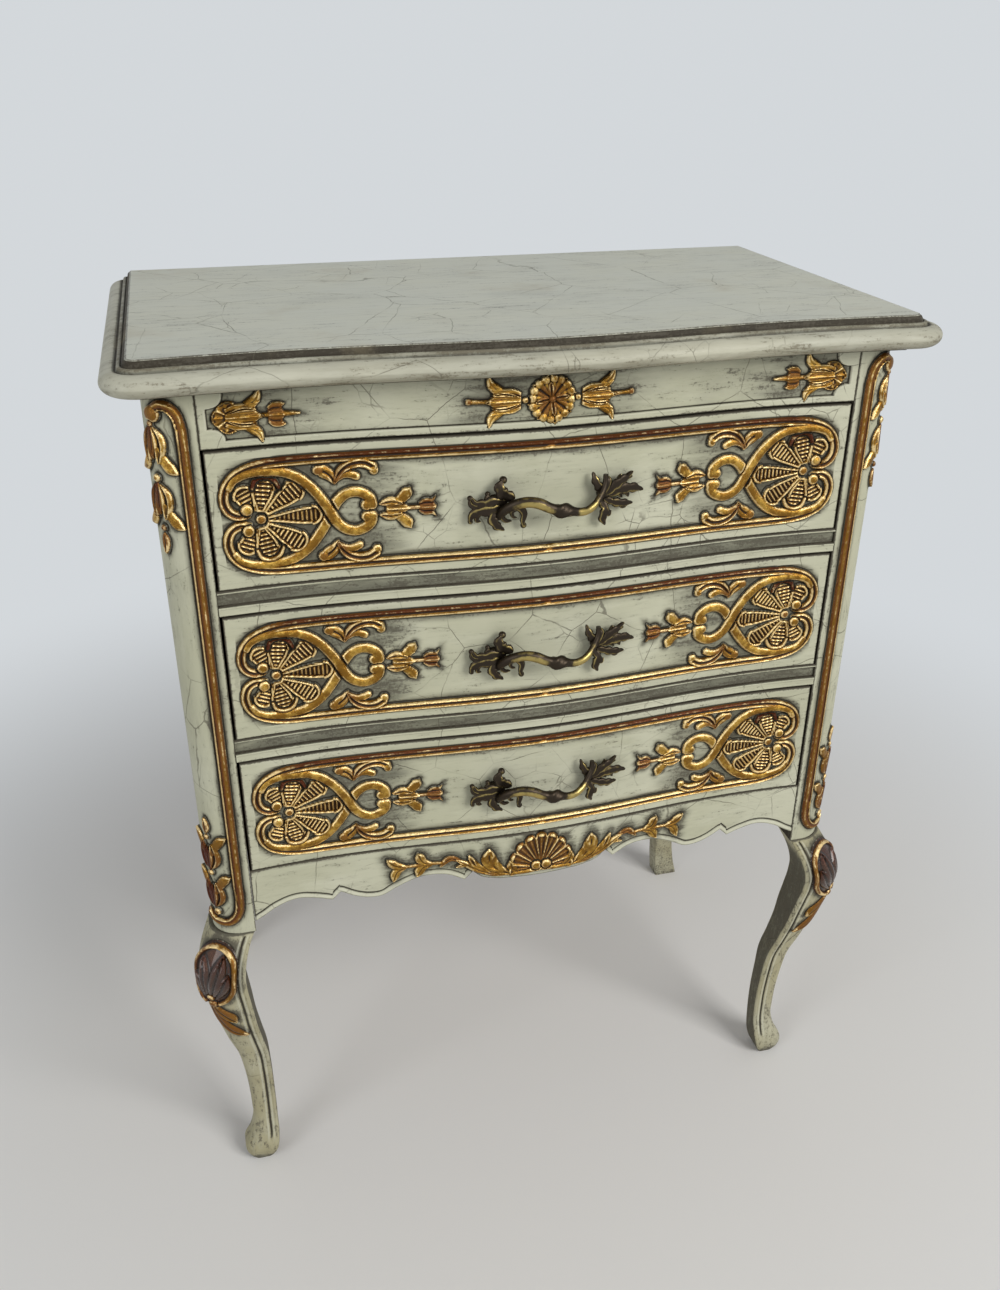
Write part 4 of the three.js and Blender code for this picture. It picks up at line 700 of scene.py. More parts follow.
def bare_wood(name, colour, scale=1.0):
    """Bare wood with a fine grain along the boards."""
    paint = Paint(name)
    grain = paint.noise(70.0 * scale, 6.0, 0.7, (0.12, 0.5, 1.0), warp=0.3)
    pores = paint.noise(420.0 * scale, 3.0, 0.6, (0.06, 0.3, 1.0))
    dark = tuple(c * 0.55 for c in colour)
    tone = paint.mix((grain * 0.8 + pores * 0.4).step(0.35, 0.85), colour, dark)
    return paint.finish(Base_Color=tone, Roughness=0.62 + pores * 0.2, Normal=paint.bump(grain + pores, 0.3, 0.0004))


def plain_metal(name, colour):
    """Dull metal with a light mottling."""
    paint = Paint(name)
    mottle = paint.noise(300.0, 3.0, 0.6)
    return paint.finish(Base_Color=paint.mix(mottle, colour, tuple(c * 0.7 for c in colour)), Metallic=0.9,
                        Roughness=0.34 + mottle * 0.2)


# Carved forms of the drawer fronts, frieze and apron
def sided(side, *points):
    """Points, with their second coordinate turned over where side is -1."""
    return [(a, side * b) for a, b in points]


# Curves of the drawers' carved ends: the crossing strand, and the double rim
DRAWER_STRAND = (
    (9, 27), (12.5, 32.3), (18.5, 35.6), (30, 38), (41, 37.6), (51, 36), (59, 32.5), (66, 27.2), (72.5, 20),
    (78.5, 11.5), (82.5, 4.5), (85.8, -2), (90.5, -9.5), (97, -14.7), (104, -16.2), (111, -14.2), (116, -9.5),
    (117, -4.6),
)
DRAWER_RIM = (
    (260, 44.5), (120, 44.5), (60, 44.5), (46, 44.2), (34, 43.2), (23, 40.6), (13, 35.4), (7, 28.2), (4.4, 20.5),
    (4.8, 13.4), (8.4, 7.2), (14.2, 4.2), (20.5, 5.2),
)


def drawer_carving(u, v):
    """The carved end of a drawer: u runs inwards from the end of the rim, v up from the middle."""
    carving = Carving(u, v, spread=5.5)
    for side in (-1, 1):
        carving.lobe((25.6, side * 6.4), (16.4, side * 27.6), 15.5, 0.84, red=0.15)
        carving.lobe((30.8, side * 6.0), (35.6, side * 34.2), 18.4, 0.88)
        carving.lobe((34.5, side * 4.5), (64, side * 25.5), 16.8, 0.86, red=0.15)
        carving.ribbon(sided(side, (26.2, 25.5), (28.6, 31.4), (34.4, 34.0), (40.6, 32.8), (44.6, 28.5), (46.2, 24.5)),
                       [2.2, 3.0, 3.4, 3.0, 2.2], 1.0, "round", red=0.75 + 0.35 * side, over=True, steps=24)
    carving.lobe((34.5, 0), (78, 0), 14.8, 0.9)
    for side, over in ((-1, False), (1, True)):
        carving.ribbon(sided(side, *DRAWER_STRAND), [5.2, 7.0, 7.6, 8.0, 8.2, 8.4, 8.2], 1.0, "flat", red=0.04,
                       over=over, steps=90)
        carving.ball((112.6, side * -4.7), 4.4, 1.02, red=0.04, over=False)
    for side in (-1, 1):
        carving.ribbon(sided(side, *DRAWER_RIM), 7.6, 0.92, "double", red=0.25 + 0.12 * side, steps=150)
        carving.ball((20.7, side * 8.6), 4.7, 1.12, red=0.03)
        carving.leaf(sided(side, (89, 24), (86, 30), (80.5, 34.5), (75, 37.5)), 10.0, 1.0, blunt=0.64, vein=0.6)
        carving.ball((76.8, side * 35.6), 4.2, 1.0, red=0.5, over=False)
        carving.ribbon(sided(side, (89.5, 26), (93, 32.5), (99, 37.4), (106.5, 39.5), (113.5, 38.8), (118.5, 35.8)),
                       [3.4, 6.0, 7.4, 8.2, 8.6, 8.0], 1.0, "double", red=-0.05, steps=30, fade=0.7)
        carving.ribbon(sided(side, (90.5, 27), (96, 30.4), (102, 30.4), (106, 28.6)), [3.4, 5.0, 6.0, 6.0], 0.9, "flat",
                       red=0.0, steps=16, fade=0.7)
        carving.ball((119.6, side * 32.8), 3.8, 0.95, over=False)
    carving.ball((31, 0), 3.9, 0.9, red=0.45)
    for side in (-1, 1):
        carving.leaf(sided(side, (123.4, 4.6), (131, 5.9), (140.5, 4.6)), 7.4, 1.05, vein=0.5)
        carving.leaf(sided(side, (131, 4.5), (138.5, 7.0), (143.6, 11.2), (147.0, 16.4)), 8.8, 0.95, blunt=0.80,
                     vein=0.15, red=0.05)
    carving.cup((128, 0), (147.6, 0), [5.4, 7.8, 7.4, 7.8, 8.8], 0.98, red=0.15, notch=0.24)
    carving.ribbon([(147, 0), (156, 0)], 3.0, 0.75, "round", red=0.7, steps=4)
    carving.cup((154.0, 0), (168.0, 0), [3.6, 6.2, 6.6, 6.4, 9.0], 0.98, red=0.62, notch=0.14)
    along_top = (v > 41) * ease(u, 18.0, 46.0) * (carving.gilt > 0.3)
    upper = np.where(v > 44.0, 1.0, 0.35)
    carving.red = np.where(along_top > 0.05, carving.red * (1 - along_top) + along_top * upper, carving.red)
    carving.grime_and_shade *= np.where((np.abs(v) > 48.2) | (u < 1.5), 0.35, 1.0)
    inside = (np.abs(v) < 42) * ease(u, 2.0, 12.0)
    # The ground inside the carved end is darker, most round the palmette.
    carving.darken(inside * (1 - ease(u + 0.35 * np.abs(v), 78.0, 108.0)))
    carving.darken(0.66 * inside * (1 - ease(u, 114.0, 182.0)) * (0.84 + 0.16 * ease(np.abs(v), 4, 26)))
    carving.sink(0.8, 0.35)
    return carving


def tulip(carving, at, rise, red=0.1):
    """A tulip of ridged petals that opens along s, with its two outer tips flared; at puts (s, w) on the field."""
    start, end = at((0, 0), (27, 0))
    carving.cup(start, end, [6.2, 9.4, 9.8, 10.2, 11.2], rise * 1.08, red=red, notch=0.15)
    for side in (-1, 1):
        carving.leaf(at(*sided(side, (3, 3.0), (12, 5.6), (23, 5.4))), 4.4, rise * 1.15, blunt=0.6, vein=0.5, red=red)
    carving.leaf(at((12, 0), (20, 0), (28.5, 0)), 6.0, rise * 1.18, vein=0.6, red=red + 0.3)
    for side in (-1, 1):
        carving.leaf(at(*sided(side, (13, 8.0), (20, 10.0), (24.4, 13.8), (26.2, 19.6))), 7.4, rise, blunt=0.42,
                     vein=0.25, red=red)


# Sunk field of the frieze, in millimetres from the chest's middle and from the field's own middle
FRIEZE_SINK = 2.5
FRIEZE_SETDOWN = 20.2
FRIEZE_HALF_HEIGHT = 17.5
FRIEZE_HALF_LENGTH = 259.5
FRIEZE_LOBE = 9.0
FRIEZE_NOTCH = 4.0, 8.0


def frieze_carving(u, v):
    """The frieze ornaments, v from the middle of the sunk field."""
    carving = Carving(u, v, ground=-FRIEZE_SINK)
    for k in range(8):
        angle = math.radians(45 * k + 8)
        c, s = math.cos(angle), math.sin(angle)
        reach = 19.4 - 0.9 * (k % 2)
        carving.leaf([(3 * c, 3 * s), (11 * c, 11 * s), (reach * c, reach * s)], 13.0, 1.0, blunt=0.80, vein=0.75,
                     red=0.10 + 0.35 * (k % 2))
        for tip in (angle - 0.21, angle + 0.21):
            carving.ball((16.0 * math.cos(tip), 16.0 * math.sin(tip)), 3.6, 1.16 - 0.1 * (k % 2), red=-0.1, over=False)
    for k in range(4):
        angle = math.radians(90 * k + 8)
        c, s = math.cos(angle), math.sin(angle)
        carving.leaf([(2 * c, 2 * s), (7 * c, 7 * s), (13 * c, 13 * s)], 6.6, 1.2, blunt=0.55, vein=0.5, red=0.55)
    carving.ball((0, 0), 3.0, 1.3, red=0.8, over=False)
    for side in (-1, 1):
        def inner(*points):
            return [(side * (24.5 + s), w) for s, w in points]

        def corner(*points):
            return [(side * (249.5 - s), w) for s, w in points]

        carving.ball((side * 21.5, 0), 2.5, 0.85, red=0.3)
        carving.ribbon(inner((22, 0), (32, 0.3), (42, 0.8)), [3.6, 2.6, 3.4], 0.75, "round", red=0.35, steps=10)
        carving.ball((side * 66.5, 0.9), 2.6, 0.85, red=0.7, over=False)
        tulip(carving, inner, 1.05)
        carving.fan((side * 245.0, 0), (14.6, 12.8), 3, 1.15, 216.0, turn_deg=90.0 - 90.0 * side, red=-0.05, hub=0.2)
        tulip(carving, corner, 1.08)
        carving.ribbon(corner((24, 0), (32, 0)), 3.0, 0.8, "round", red=0.4, steps=5)
        carving.ribbon(corner((44, 0), (49, 0), (55, 0)), [4.0, 3.0, 1.6], 0.8, "round", red=0.35, steps=6)
        carving.cup((side * 218, 0), (side * 204.5, 0), [5.6, 8.8, 9.4, 9.2, 7.6], 1.05, red=0.4, notch=0.18)
    return carving


# Leaves and stem of the apron's garland, from the middle outwards: points, width, rise, bluntness, ribs, redness
GARLAND = (
    (((22, 343.5), (27.5, 348), (30.5, 357)), 9.0, 0.9, 0.6, 0, 0.25),
    (((29, 342.5), (42, 349), (50, 360), (50.5, 373)), 14.5, 1.0, 0.70, 3, 0.12),
    (((32, 342), (50, 346.5), (62, 355), (70, 369.5)), 7.6, 0.92, 0.68, 3, 0.2),
    (((42, 344), (58, 350), (72, 360), (82, 367)), 6.8, 0.9, 0.6, 0, 0.25),
    (((60, 355), (74, 359.5), (82, 358.5)), 5.0, 0.8, 0.5, 0, 0.3),
    (((76, 364), (88, 368.5), (97, 361.5)), 6.2, 0.88, 0.6, 0, 0.6),
    (((92, 365), (108, 365.5), (122, 365), (134, 365)), None, 0.7, None, None, 0.4),
    (((104, 365), (112.5, 368), (117.5, 378.5)), 9.4, 1.0, 0.72, 0, 0.15),
    (((104, 365), (113, 362), (119, 353.5)), 9.0, 0.95, 0.72, 0, 0.15),
    (((128, 365), (137.5, 367), (146, 375)), 8.4, 1.0, 0.64, 0, 0.15),
    (((128, 365), (137, 360.5), (141.2, 350.5)), 8.4, 0.95, 0.68, 0, 0.15),
)


def apron_carving(u, v):
    """The shell and garlands of the apron, v from the floor."""
    carving = Carving(u, v, spread=8.5)
    for side in (-1, 1):
        for points, width, rise, blunt, ribs, red in GARLAND:
            points = [(side * a, b) for a, b in points]
            if width:
                carving.leaf(points, width, rise, blunt=blunt, ribs=ribs, red=red)
            else:
                carving.ribbon(points, [2.4, 3.2, 2.4], rise, "round", red=red, steps=14)
        carving.ribbon([(side * 2, 343.6), (side * 16, 342.6), (side * 32, 343.0)], [4.6, 3.6], 0.8, "round", red=0.25,
                       steps=8)
    carving.fan((0, 345.5), (33.0, 40.5), 9, 1.15, 200.0, red=0.2)
    for side in (-1, 1):
        carving.ball((side * 5.0, 348.8), 4.9, 1.2, red=0.2)
    carving.sink(0.5, 0.45)
    return carving


def carved_board(name, us, carving, span, thickness=FRONT_THICKNESS):
    """A carved board on the waving front, with its edges eased."""
    u, v = carving.u, carving.v
    height = carving.height + np.minimum(edge_ease(u, us[0], us[-1]), edge_ease(v, *span))
    gap = np.minimum(np.minimum(u - us[0], us[-1] - u), np.minimum(v - span[0], span[1] - v))
    # A dark line along the board's edges: painted shade in the gap, with grime.
    carving.darken(1.3 * bell(gap, 0.0, 0.42))
    points, behind = on_front(u, v, height, FRONT_LINE + thickness)
    return woven(name, points, masks_of(carving, 1 - ease(gap, 0.0, 2.5)), behind)


class CHEST_OT_drawer_fronts(bpy.types.Operator):
    """Builds the three carved drawer fronts"""

    bl_idname = "chest.drawer_fronts"
    bl_label = "Drawer Fronts"

    def execute(self, context):
        fine, coarse = size("fine_step"), size("coarse_step")
        material = aged_paint("carved_front", context.scene.chest_colours.paint, carved=True)
        end = DRAWER_HALF - RIM_MARGIN
        inner, reach = end - CARVED_LENGTH, DRAWER_HALF - END_PLAY
        us = stations(-reach, (-inner, fine), (inner, coarse), (reach, fine))
        half = (DRAWER_SPANS[1][1] - DRAWER_SPANS[1][0]) / 2
        span = (-half, half - TOP_PLAY)
        u, v = np.meshgrid(us, stations(span[0], (span[1], fine)))
        carving = drawer_carving(end - np.abs(u), v)
        carving.u = u
        away = np.minimum(DRAWER_HALF - np.abs(u), half - np.abs(v))
        # Darker within 6 mm of the front's edges.
        carving.darken(0.26 * (1 - ease(away, 0.0, 6.0)))
        mesh = carved_board("carved_drawer_front", us, carving, span)
        for number in DRAWERS:
            copy = mesh.copy()
            copy.name = f"carved_drawer_front_{number}"
            copy.transform(Matrix.Translation((0.0, 0.0, sum(DRAWER_SPANS[number]) / 2 * MM)))
            add_piece(copy, material, f"drawer_{number}", f"drawer_{number}_front")
        bpy.data.meshes.remove(mesh)
        return {"FINISHED"}


class CHEST_OT_frieze(bpy.types.Operator):
    """Builds the frieze with its sunk and carved field"""

    bl_idname = "chest.frieze"
    bl_label = "Frieze"

    def execute(self, context):
        fine, coarse = size("fine_step"), size("coarse_step")
        half = STILE_INNER - SEAT_GAP
        us = stations(-half, (-192, fine), (-72, coarse), (72, fine), (192, coarse), (half, fine))
        u, v = np.meshgrid(us, stations(FRIEZE_LOW, (CASE_TOP, fine * 0.75)))
        middle = CASE_TOP + SEAT_GAP - FRIEZE_SETDOWN
        side, up = np.abs(u), np.abs(v - middle)
        lobe = np.hypot(side - FRIEZE_HALF_LENGTH, up - FRIEZE_HALF_HEIGHT) - FRIEZE_LOBE
        inside = np.minimum(FRIEZE_HALF_LENGTH - side, np.where(v > middle, FAR, FRIEZE_HALF_HEIGHT - up))
        notch = np.minimum(FRIEZE_HALF_LENGTH + FRIEZE_NOTCH[0] - side, FRIEZE_NOTCH[1] - up)
        depth = np.maximum(np.minimum(inside, np.where(side > 245, lobe, FAR)), notch)
        carving = frieze_carving(u, v - middle)
        carving.v = v
        floor = ease(depth, -0.2, 0.9)
        carving.height = np.where(carving.gilt > 0.05, carving.height, -FRIEZE_SINK * floor)
        carving.grime_and_shade *= floor
        # A dark band just inside the sunk field's border: painted shade with grime.
        carving.darken(1.1 * floor * np.exp(-np.maximum(depth, 0.0) / 1.6))
        # Darker over the whole sunk ground, most near the rosette and the corner ornaments.
        closeness = np.maximum(1 - ease(side, 40.0, 105.0), ease(side, 150.0, 218.0))
        carving.darken((0.30 + 0.32 * closeness) * floor)
        mesh = carved_board("carved_frieze", us, carving, (FRIEZE_LOW, CASE_TOP + 3))
        material = aged_paint("carved_frieze_paint", context.scene.chest_colours.paint, carved=True)
        add_piece(mesh, material, "carcase", "frieze_rail")
        return {"FINISHED"}


# Lower edge of the apron, as points (x, z) in three curved stretches that meet at the notches
APRON_EDGE = (
    ((0, 336), (20, 336.6), (45, 339), (58, 343.2), (66, 350)),
    ((66, 350), (74, 342), (90, 350), (106, 352), (125, 348), (140, 341), (152, 334.6), (162, 334.2), (176, 338),
     (190, 346)),
    ((190, 346), (198, 338), (212, 343), (230, 346.5), (250, 341), (262, 334), (270, 330)),
)


def apron_edge(x):
    """Height of the apron's lower edge at x."""
    x = np.abs(x)
    height = np.zeros(x.shape)
    for stretch in APRON_EDGE:
        places, values = zip(*stretch)
        first = 1 if values[0] > values[1] + 5 else 0
        smooth = curve_through(places[first:], values[first:], x)
        straight = np.interp(x, places[:2], values[:2])
        value = np.where(x < places[first], straight, smooth)
        height = np.where((x >= places[0]) & (x <= places[-1] + 1e-6), value, height)
    return height


class CHEST_OT_apron(bpy.types.Operator):
    """Builds the shaped apron with its shell and garlands"""

    bl_idname = "chest.apron"
    bl_label = "Apron"

    def execute(self, context):
        fine, half = size("fine_step"), STILE_INNER - SEAT_GAP
        us = stations(-half, (-190, fine * 1.6), (-150, 2.0), (150, fine), (190, 2.0), (half, fine * 1.6))
        u, share = np.meshgrid(us, np.linspace(0.0, 1.0, 74) ** 1.12)
        low = apron_edge(u)
        v = low + (APRON_TOP - low) * share
        carving = apron_carving(u, v)
        lip = (v - low) / np.sqrt(1 + np.gradient(apron_edge(us), us) ** 2)
        carving.height += np.where(carving.gilt > 0.3, 0.0, 0.9 * bell(lip, 1.6, 1.3) - 1.3 * bell(lip, 5.0, 0.9))
        # A dark line in the groove above the lower edge: painted shade with grime.
        carving.darken(1.1 * bell(lip, 5.0, 1.1))
        # Darker at the very edge and along the top.
        carving.darken(0.6 * (1 - ease(lip, 0.0, 1.4)))
        carving.darken(0.5 * (1 - ease(APRON_TOP - v, 0.0, 6.0)))
        # A painted highlight along the bead of the lower edge.
        carving.pale = bell(lip, 2.4, 1.3) * (carving.gilt < 0.3)
        mesh = carved_board("carved_apron", us, carving, (300, APRON_TOP), APRON_THICKNESS)
        material = aged_paint("carved_apron_paint", context.scene.chest_colours.paint, carved=True)
        add_piece(mesh, material, "carcase", "apron")
        return {"FINISHED"}


class CHEST_OT_rails(bpy.types.Operator):
    """Builds the two moulded rails between the drawers"""

    bl_idname = "chest.rails"
    bl_label = "Rails"

    def execute(self, context):
        material = aged_paint("paint_rails", context.scene.chest_colours.paint)
        half = STILE_INNER - SEAT_GAP
        us = stations(-half, (half, size("coarse_step")))
        for name, (low, high) in RAIL_SPANS.items():
            u, v = np.meshgrid(us, stations(low, (high, 0.45)))
            share, gap = (v - low) / (high - low), np.minimum(v - low, high - v)
            hollow = ease(share, 0.38, 0.41) * (1 - ease(share, 0.82, 0.93))
            bead = bell(share, 0.33, 0.04) + 0.6 * bell(share, 0.06, 0.04)
            height = -3.4 * hollow + 0.7 * bead + edge_ease(v, low, high, 1.2, 0.9)
            # Darkness in the cove, a dark line at its top, and at the edges by the gaps: painted shade with grime.
            grime_and_shade = 0.74 * hollow + 1.4 * bell(share, 0.395, 0.022) + 1.2 * bell(gap, 0.0, 0.8)
            masks = {"grime_and_shade": np.clip(grime_and_shade, 0, 1.5), "edge": 1 - ease(gap, 0.0, 1.6)}
            points, behind = on_front(u, v, height, RAIL_BACK)
            add_piece(woven(f"moulded_{name}", points, masks, behind), material, "carcase", name)
        return {"FINISHED"}


# Corner stiles
def stile_carving(a, z):
    """Beads, hooks and bell drops, a from the corner's middle line along the surface."""
    carving = Carving(a, z)
    top, low, bead = CASE_TOP + SEAT_GAP, LEG_HEIGHT, -20.9
    line = [(bead, low + 60), (bead, low + 240), (bead, top - 60)]
    hook = [(bead, top - 60), (bead, top - 34), (bead + 0.6, top - 23), (bead + 3.2, top - 13.5), (-12.6, top - 8.2),
            (-7.5, top - 7.4), (-2.4, top - 10.5)]
    foot = [(bead, low + 60), (bead, low + 36), (bead + 1.2, low + 27), (bead + 5.0, low + 19.5), (-10.5, low + 15.0),
            (-4.5, low + 14.0), (4.5, low + 15.0), (11.0, low + 20.0)]
    for path, red, steps, hand in ((line, 0.92, 12, 1), (hook, 0.85, 50, 1), (foot, 0.95, 50, -1)):
        carving.ribbon(path, 7.6, 0.9, "flat", red=red, steps=steps)
        curve = spline(path, 24)
        way = np.gradient(curve, axis=0)
        way /= np.linalg.norm(way, axis=1)[:, None]
        turned = hand * np.stack([way[:, 1], -way[:, 0]], axis=1)
        carving.ribbon(curve - turned * 1.2, 3.0, 1.04, "flat", red=red - 0.50, steps=steps)
        carving.ribbon(curve + turned * 2.8, 1.0, 1.12, "round", red=red - 0.80, steps=steps)
    carving.ball((-1.0, top - 14.0), 6.4, 1.35, red=0.5, over=False)
    carving.ball((2, top - 21.8), 2.6, 1.0, red=0.8)
    carving.ball((0, low + 25.5), 3.4, 1.1, red=0.5)

    def drop(start, red):
        """One bell drop: a bulb of two halves with a dark eye, a middle leaf and two flared tips."""
        way = -1 if start > (top + low) / 2 else 1

        def at(*points):
            return [(s + 2.0, start + way * t) for s, t in points]

        for side in (-1, 1):
            carving.leaf(at((side * 4.6, 16), (side * 7.6, 25), (side * 12.8, 32.0), (side * 17.4, 35.0)), 8.6, 1.0,
                         blunt=0.70, vein=0.1, red=red - 0.15)
            carving.leaf(at((side * 2.2, 1), (side * 5.0, 9), (side * 5.6, 18), (side * 4.6, 27)), 11.0, 1.2,
                         blunt=0.42, vein=0.85, red=red + 0.30 + 0.28 * side)
        carving.leaf(at((0, -1), (0, 10), (0, 24)), 5.0, 1.1, blunt=0.40, vein=0.3, red=red + 0.7)

    drop(top - 24, 0.12)
    carving.ball((2, top - 63.5), 3.2, 1.0, red=0.2)
    drop(top - 68, 0.18)
    carving.ball((2, top - 103.5), 2.6, 0.9, red=0.9)
    carving.leaf([(2, top - 108), (2, top - 115), (2, top - 124)], 7.4, 1.0, blunt=0.4, red=0.55)
    drop(low + 31, 0.55)
    carving.ball((2, low + 69), 3.0, 1.0, red=0.4)
    drop(low + 73.5, 0.5)
    carving.ball((2, low + 108), 2.6, 0.9, red=0.5)
    carving.leaf([(2, low + 112), (2, low + 118), (2, low + 128)], 7.0, 1.0, blunt=0.4, red=0.45)
    upper = ease(z, top - 140, top - 104) * (1 - ease(z, top - 12, top - 7))
    lower = ease(z, low + 15, low + 20) * (1 - ease(z, low + 108, low + 140))
    # The ground beside the beads, above and below, is darker.
    carving.darken(0.36 * (a > bead) * (a < 17) * np.maximum(upper, lower))
    carving.sink(0.5, 0.45)
    return carving


class CHEST_OT_stiles(bpy.types.Operator):
    """Builds the rounded front stiles with their beads and drops"""

    bl_idname = "chest.stiles"
    bl_label = "Front Stiles"

    def execute(self, context):
        fine, radius = size("fine_step"), size("stile_radius")
        front = front_y(STILE_INNER)
        centre = np.array([SIDE_LINE - radius, front + radius])
        quarter = radius * math.pi / 4
        front_run, side_run = centre[0] - STILE_INNER, STILE_BACK - centre[1]
        arcs = stations(-quarter - front_run, (-quarter, fine), (quarter, fine), (quarter + side_run, fine))
        turn = np.clip(arcs, -quarter, quarter) / radius - math.pi / 4
        normal = np.stack([np.cos(turn), np.sin(turn)], axis=-1)
        base = centre + radius * normal
        base[:, 0] -= np.maximum(-quarter - arcs, 0)
        base[:, 1] += np.maximum(arcs - quarter, 0)
        zs = stations(LEG_HEIGHT, (LEG_HEIGHT + 150, fine), (CASE_TOP - 145, 5.0), (CASE_TOP, fine))
        a, z = np.meshgrid(arcs, zs)
        carving = stile_carving(a, z)
        gap = np.minimum(np.minimum(a - arcs[0], arcs[-1] - a), z - LEG_HEIGHT)
        # Darker within 3 mm of the edges.
        carving.darken(0.4 * (1 - ease(gap, 0.0, 3.0)))
        height = carving.height - 0.9 * (1 - np.clip(gap / 1.2, 0, 1)) ** 2
        face = base + normal * height[..., None]
        loop = np.linspace([STILE_INNER, STILE_BACK], [STILE_INNER, front + 1.5], 5)
        points = np.concatenate([levels(loop, zs), levels(face, zs), levels(loop[:1], zs)], axis=1)
        # The inner side by the drawer opening, and the seam, are painted near-black: painted shade in the gap.
        masks = {key: np.pad(value, ((0, 0), (len(loop), 1)), constant_values=1.5 * (key == "grime_and_shade"))
                 for key, value in masks_of(carving, 1 - ease(gap, 0.0, 1.8)).items()}
        paint = context.scene.chest_colours.paint
        material = aged_paint("carved_stile_paint", paint, grain=(1.0, 1.0, 0.18), carved=True)
        add_pair("carved_stile", points, masks, material, "front_stile")
        return {"FINISHED"}


# Stations of the front legs: height share, swell to the side, swell to the front, width, depth, corner
LEG_STATIONS = np.array([
    (0.0, -0.47, -1.0, 20.0, 21.1, 7.8), (0.025, -0.18, -0.76, 29.0, 27.0, 11.7),
    (0.057, -0.12, -0.65, 33.5, 29.0, 13.0),
    (0.1, -0.53, -0.94, 28.6, 23.9, 10.9), (0.151, -0.79, -1.24, 24.5, 20.0, 9.1), (0.21, -0.8, -1.28, 24.5, 20.0, 9.1),
    (0.264, -0.78, -1.26, 24.8, 20.3, 9.1), (0.378, -0.65, -1.06, 26.5, 21.4, 9.9),
    (0.466, -0.42, -0.83, 29.1, 24.2, 12.0), (0.56, 0.03, -0.32, 32.9, 27.3, 14.6),
    (0.645, 0.38, 0.12, 35.4, 30.9, 17.2),
    (0.709, 0.68, 0.41, 38.9, 34.0, 19.5), (0.771, 0.88, 0.71, 40.6, 36.0, 21.3), (0.834, 1.0, 0.97, 41.0, 37.9, 22.4),
    (0.881, 1.0, 1.04, 41.0, 39.0, 22.9), (0.913, 0.91, 0.85, 41.0, 39.0, 23.4), (0.944, 0.71, 0.56, 40.6, 39.0, 23.9),
    (0.976, 0.41, 0.18, 40.0, 39.6, 25.2), (1.0, 0.18, -0.06, 40.6, 39.9, 26.0),
])
# Leaves inside the cartouche, from its middle: width, then points
KNEE_LEAVES = (
    (11.0, (-3, -21), (-11, -8), (-15, 6)), (10.0, (5, -21), (12, -10), (15, 2)),
    (12.5, (-1, -21), (-7, 3), (-8, 22)), (12.0, (3, -20), (5, 2), (9, 19)),
)


def knee_carving(w, z):
    """The shell cartouche and its leaf on the knee, w across the corner's diagonal."""
    w = w + 1.6
    carving = Carving(w, z)
    middle, half_w, half_h = LEG_HEIGHT - 38.0, 22.5, 32.5

    def at(*points):
        return [(s, middle + t) for s, t in points]

    carving.leaf(at((3, -30), (3.5, -44), (2.0, -58), (-2.0, -72), (-9.0, -83), (-11.5, -85)), 10.0, 1.0, blunt=0.72,
                 red=0.62)
    carving.leaf(at((1, -29), (-1.0, -40), (-5.5, -51), (-9.5, -60)), 11.0, 1.1, blunt=0.66, red=0.45)
    r = np.hypot(w / half_w, (z - middle) / half_h)
    where = np.nonzero(r < 1.4)
    carving.lay(where, (r[where] - 1.0) * half_w, 0.25, 1.5, over=True)
    for width, *points in KNEE_LEAVES:
        carving.leaf(at(*points), width, 1.4, blunt=0.62, vein=0.6, red=1.55)
    turn = np.linspace(0.0, 2 * math.pi, 25)
    oval = zip(half_w * 0.88 * np.sin(turn), half_h * 0.90 * np.cos(turn))
    carving.ribbon(at(*oval), 3.3, 1.3, "round", red=0.52, steps=60)
    outer = ease(w + 0.15 * (middle - z), -4.0, 8.0) * (r < 1.08)
    carving.red = np.maximum(carving.red, 0.9 * outer * (carving.gilt > 0.3))
    carving.ball((0, middle - half_h + 3.5), 4.2, 1.35, red=0.7)
    carving.ball((0, middle - 20), 3.6, 1.2, red=0.6)
    return carving


def leg_ring(x0, x1, y0, y1, corner, arris=3.0):
    """Outline of a leg on one level, the directions out of it, and how far each point of a side is from its start."""
    ring, out, reach = [], [], []

    def bend(cx, cy, radius, start, count):
        for t in np.radians(np.linspace(start, start + 90.0, count)):
            ring.append((cx + radius * math.cos(t), cy + radius * math.sin(t)))
            out.append((math.cos(t), math.sin(t)))
            reach.append(FAR)

    def run(p, q, count, direction):
        for t in np.linspace(0, 1, count + 2)[1:-1]:
            ring.append((p[0] + (q[0] - p[0]) * t, p[1] + (q[1] - p[1]) * t))
            out.append(direction)
            reach.append(math.dist(p, q) * t + arris)

    bend(x0 + arris, y0 + arris, arris, 180.0, 4)
    run((x0 + arris, y0), (x1 - corner, y0), 22, (0.0, -1.0))
    bend(x1 - corner, y0 + corner, corner, 270.0, 40)
    run((x1, y0 + corner), (x1, y1 - arris), 14, (1.0, 0.0))
    bend(x1 - arris, y1 - arris, arris, 0.0, 4)
    run((x1 - arris, y1), (x0 + arris, y1), 5, (0.0, 1.0))
    bend(x0 + arris, y1 - arris, arris, 90.0, 4)
    run((x0, y1 - arris), (x0, y0 + arris), 5, (-1.0, 0.0))
    return ring + ring[:1], out + out[:1], reach + [FAR]


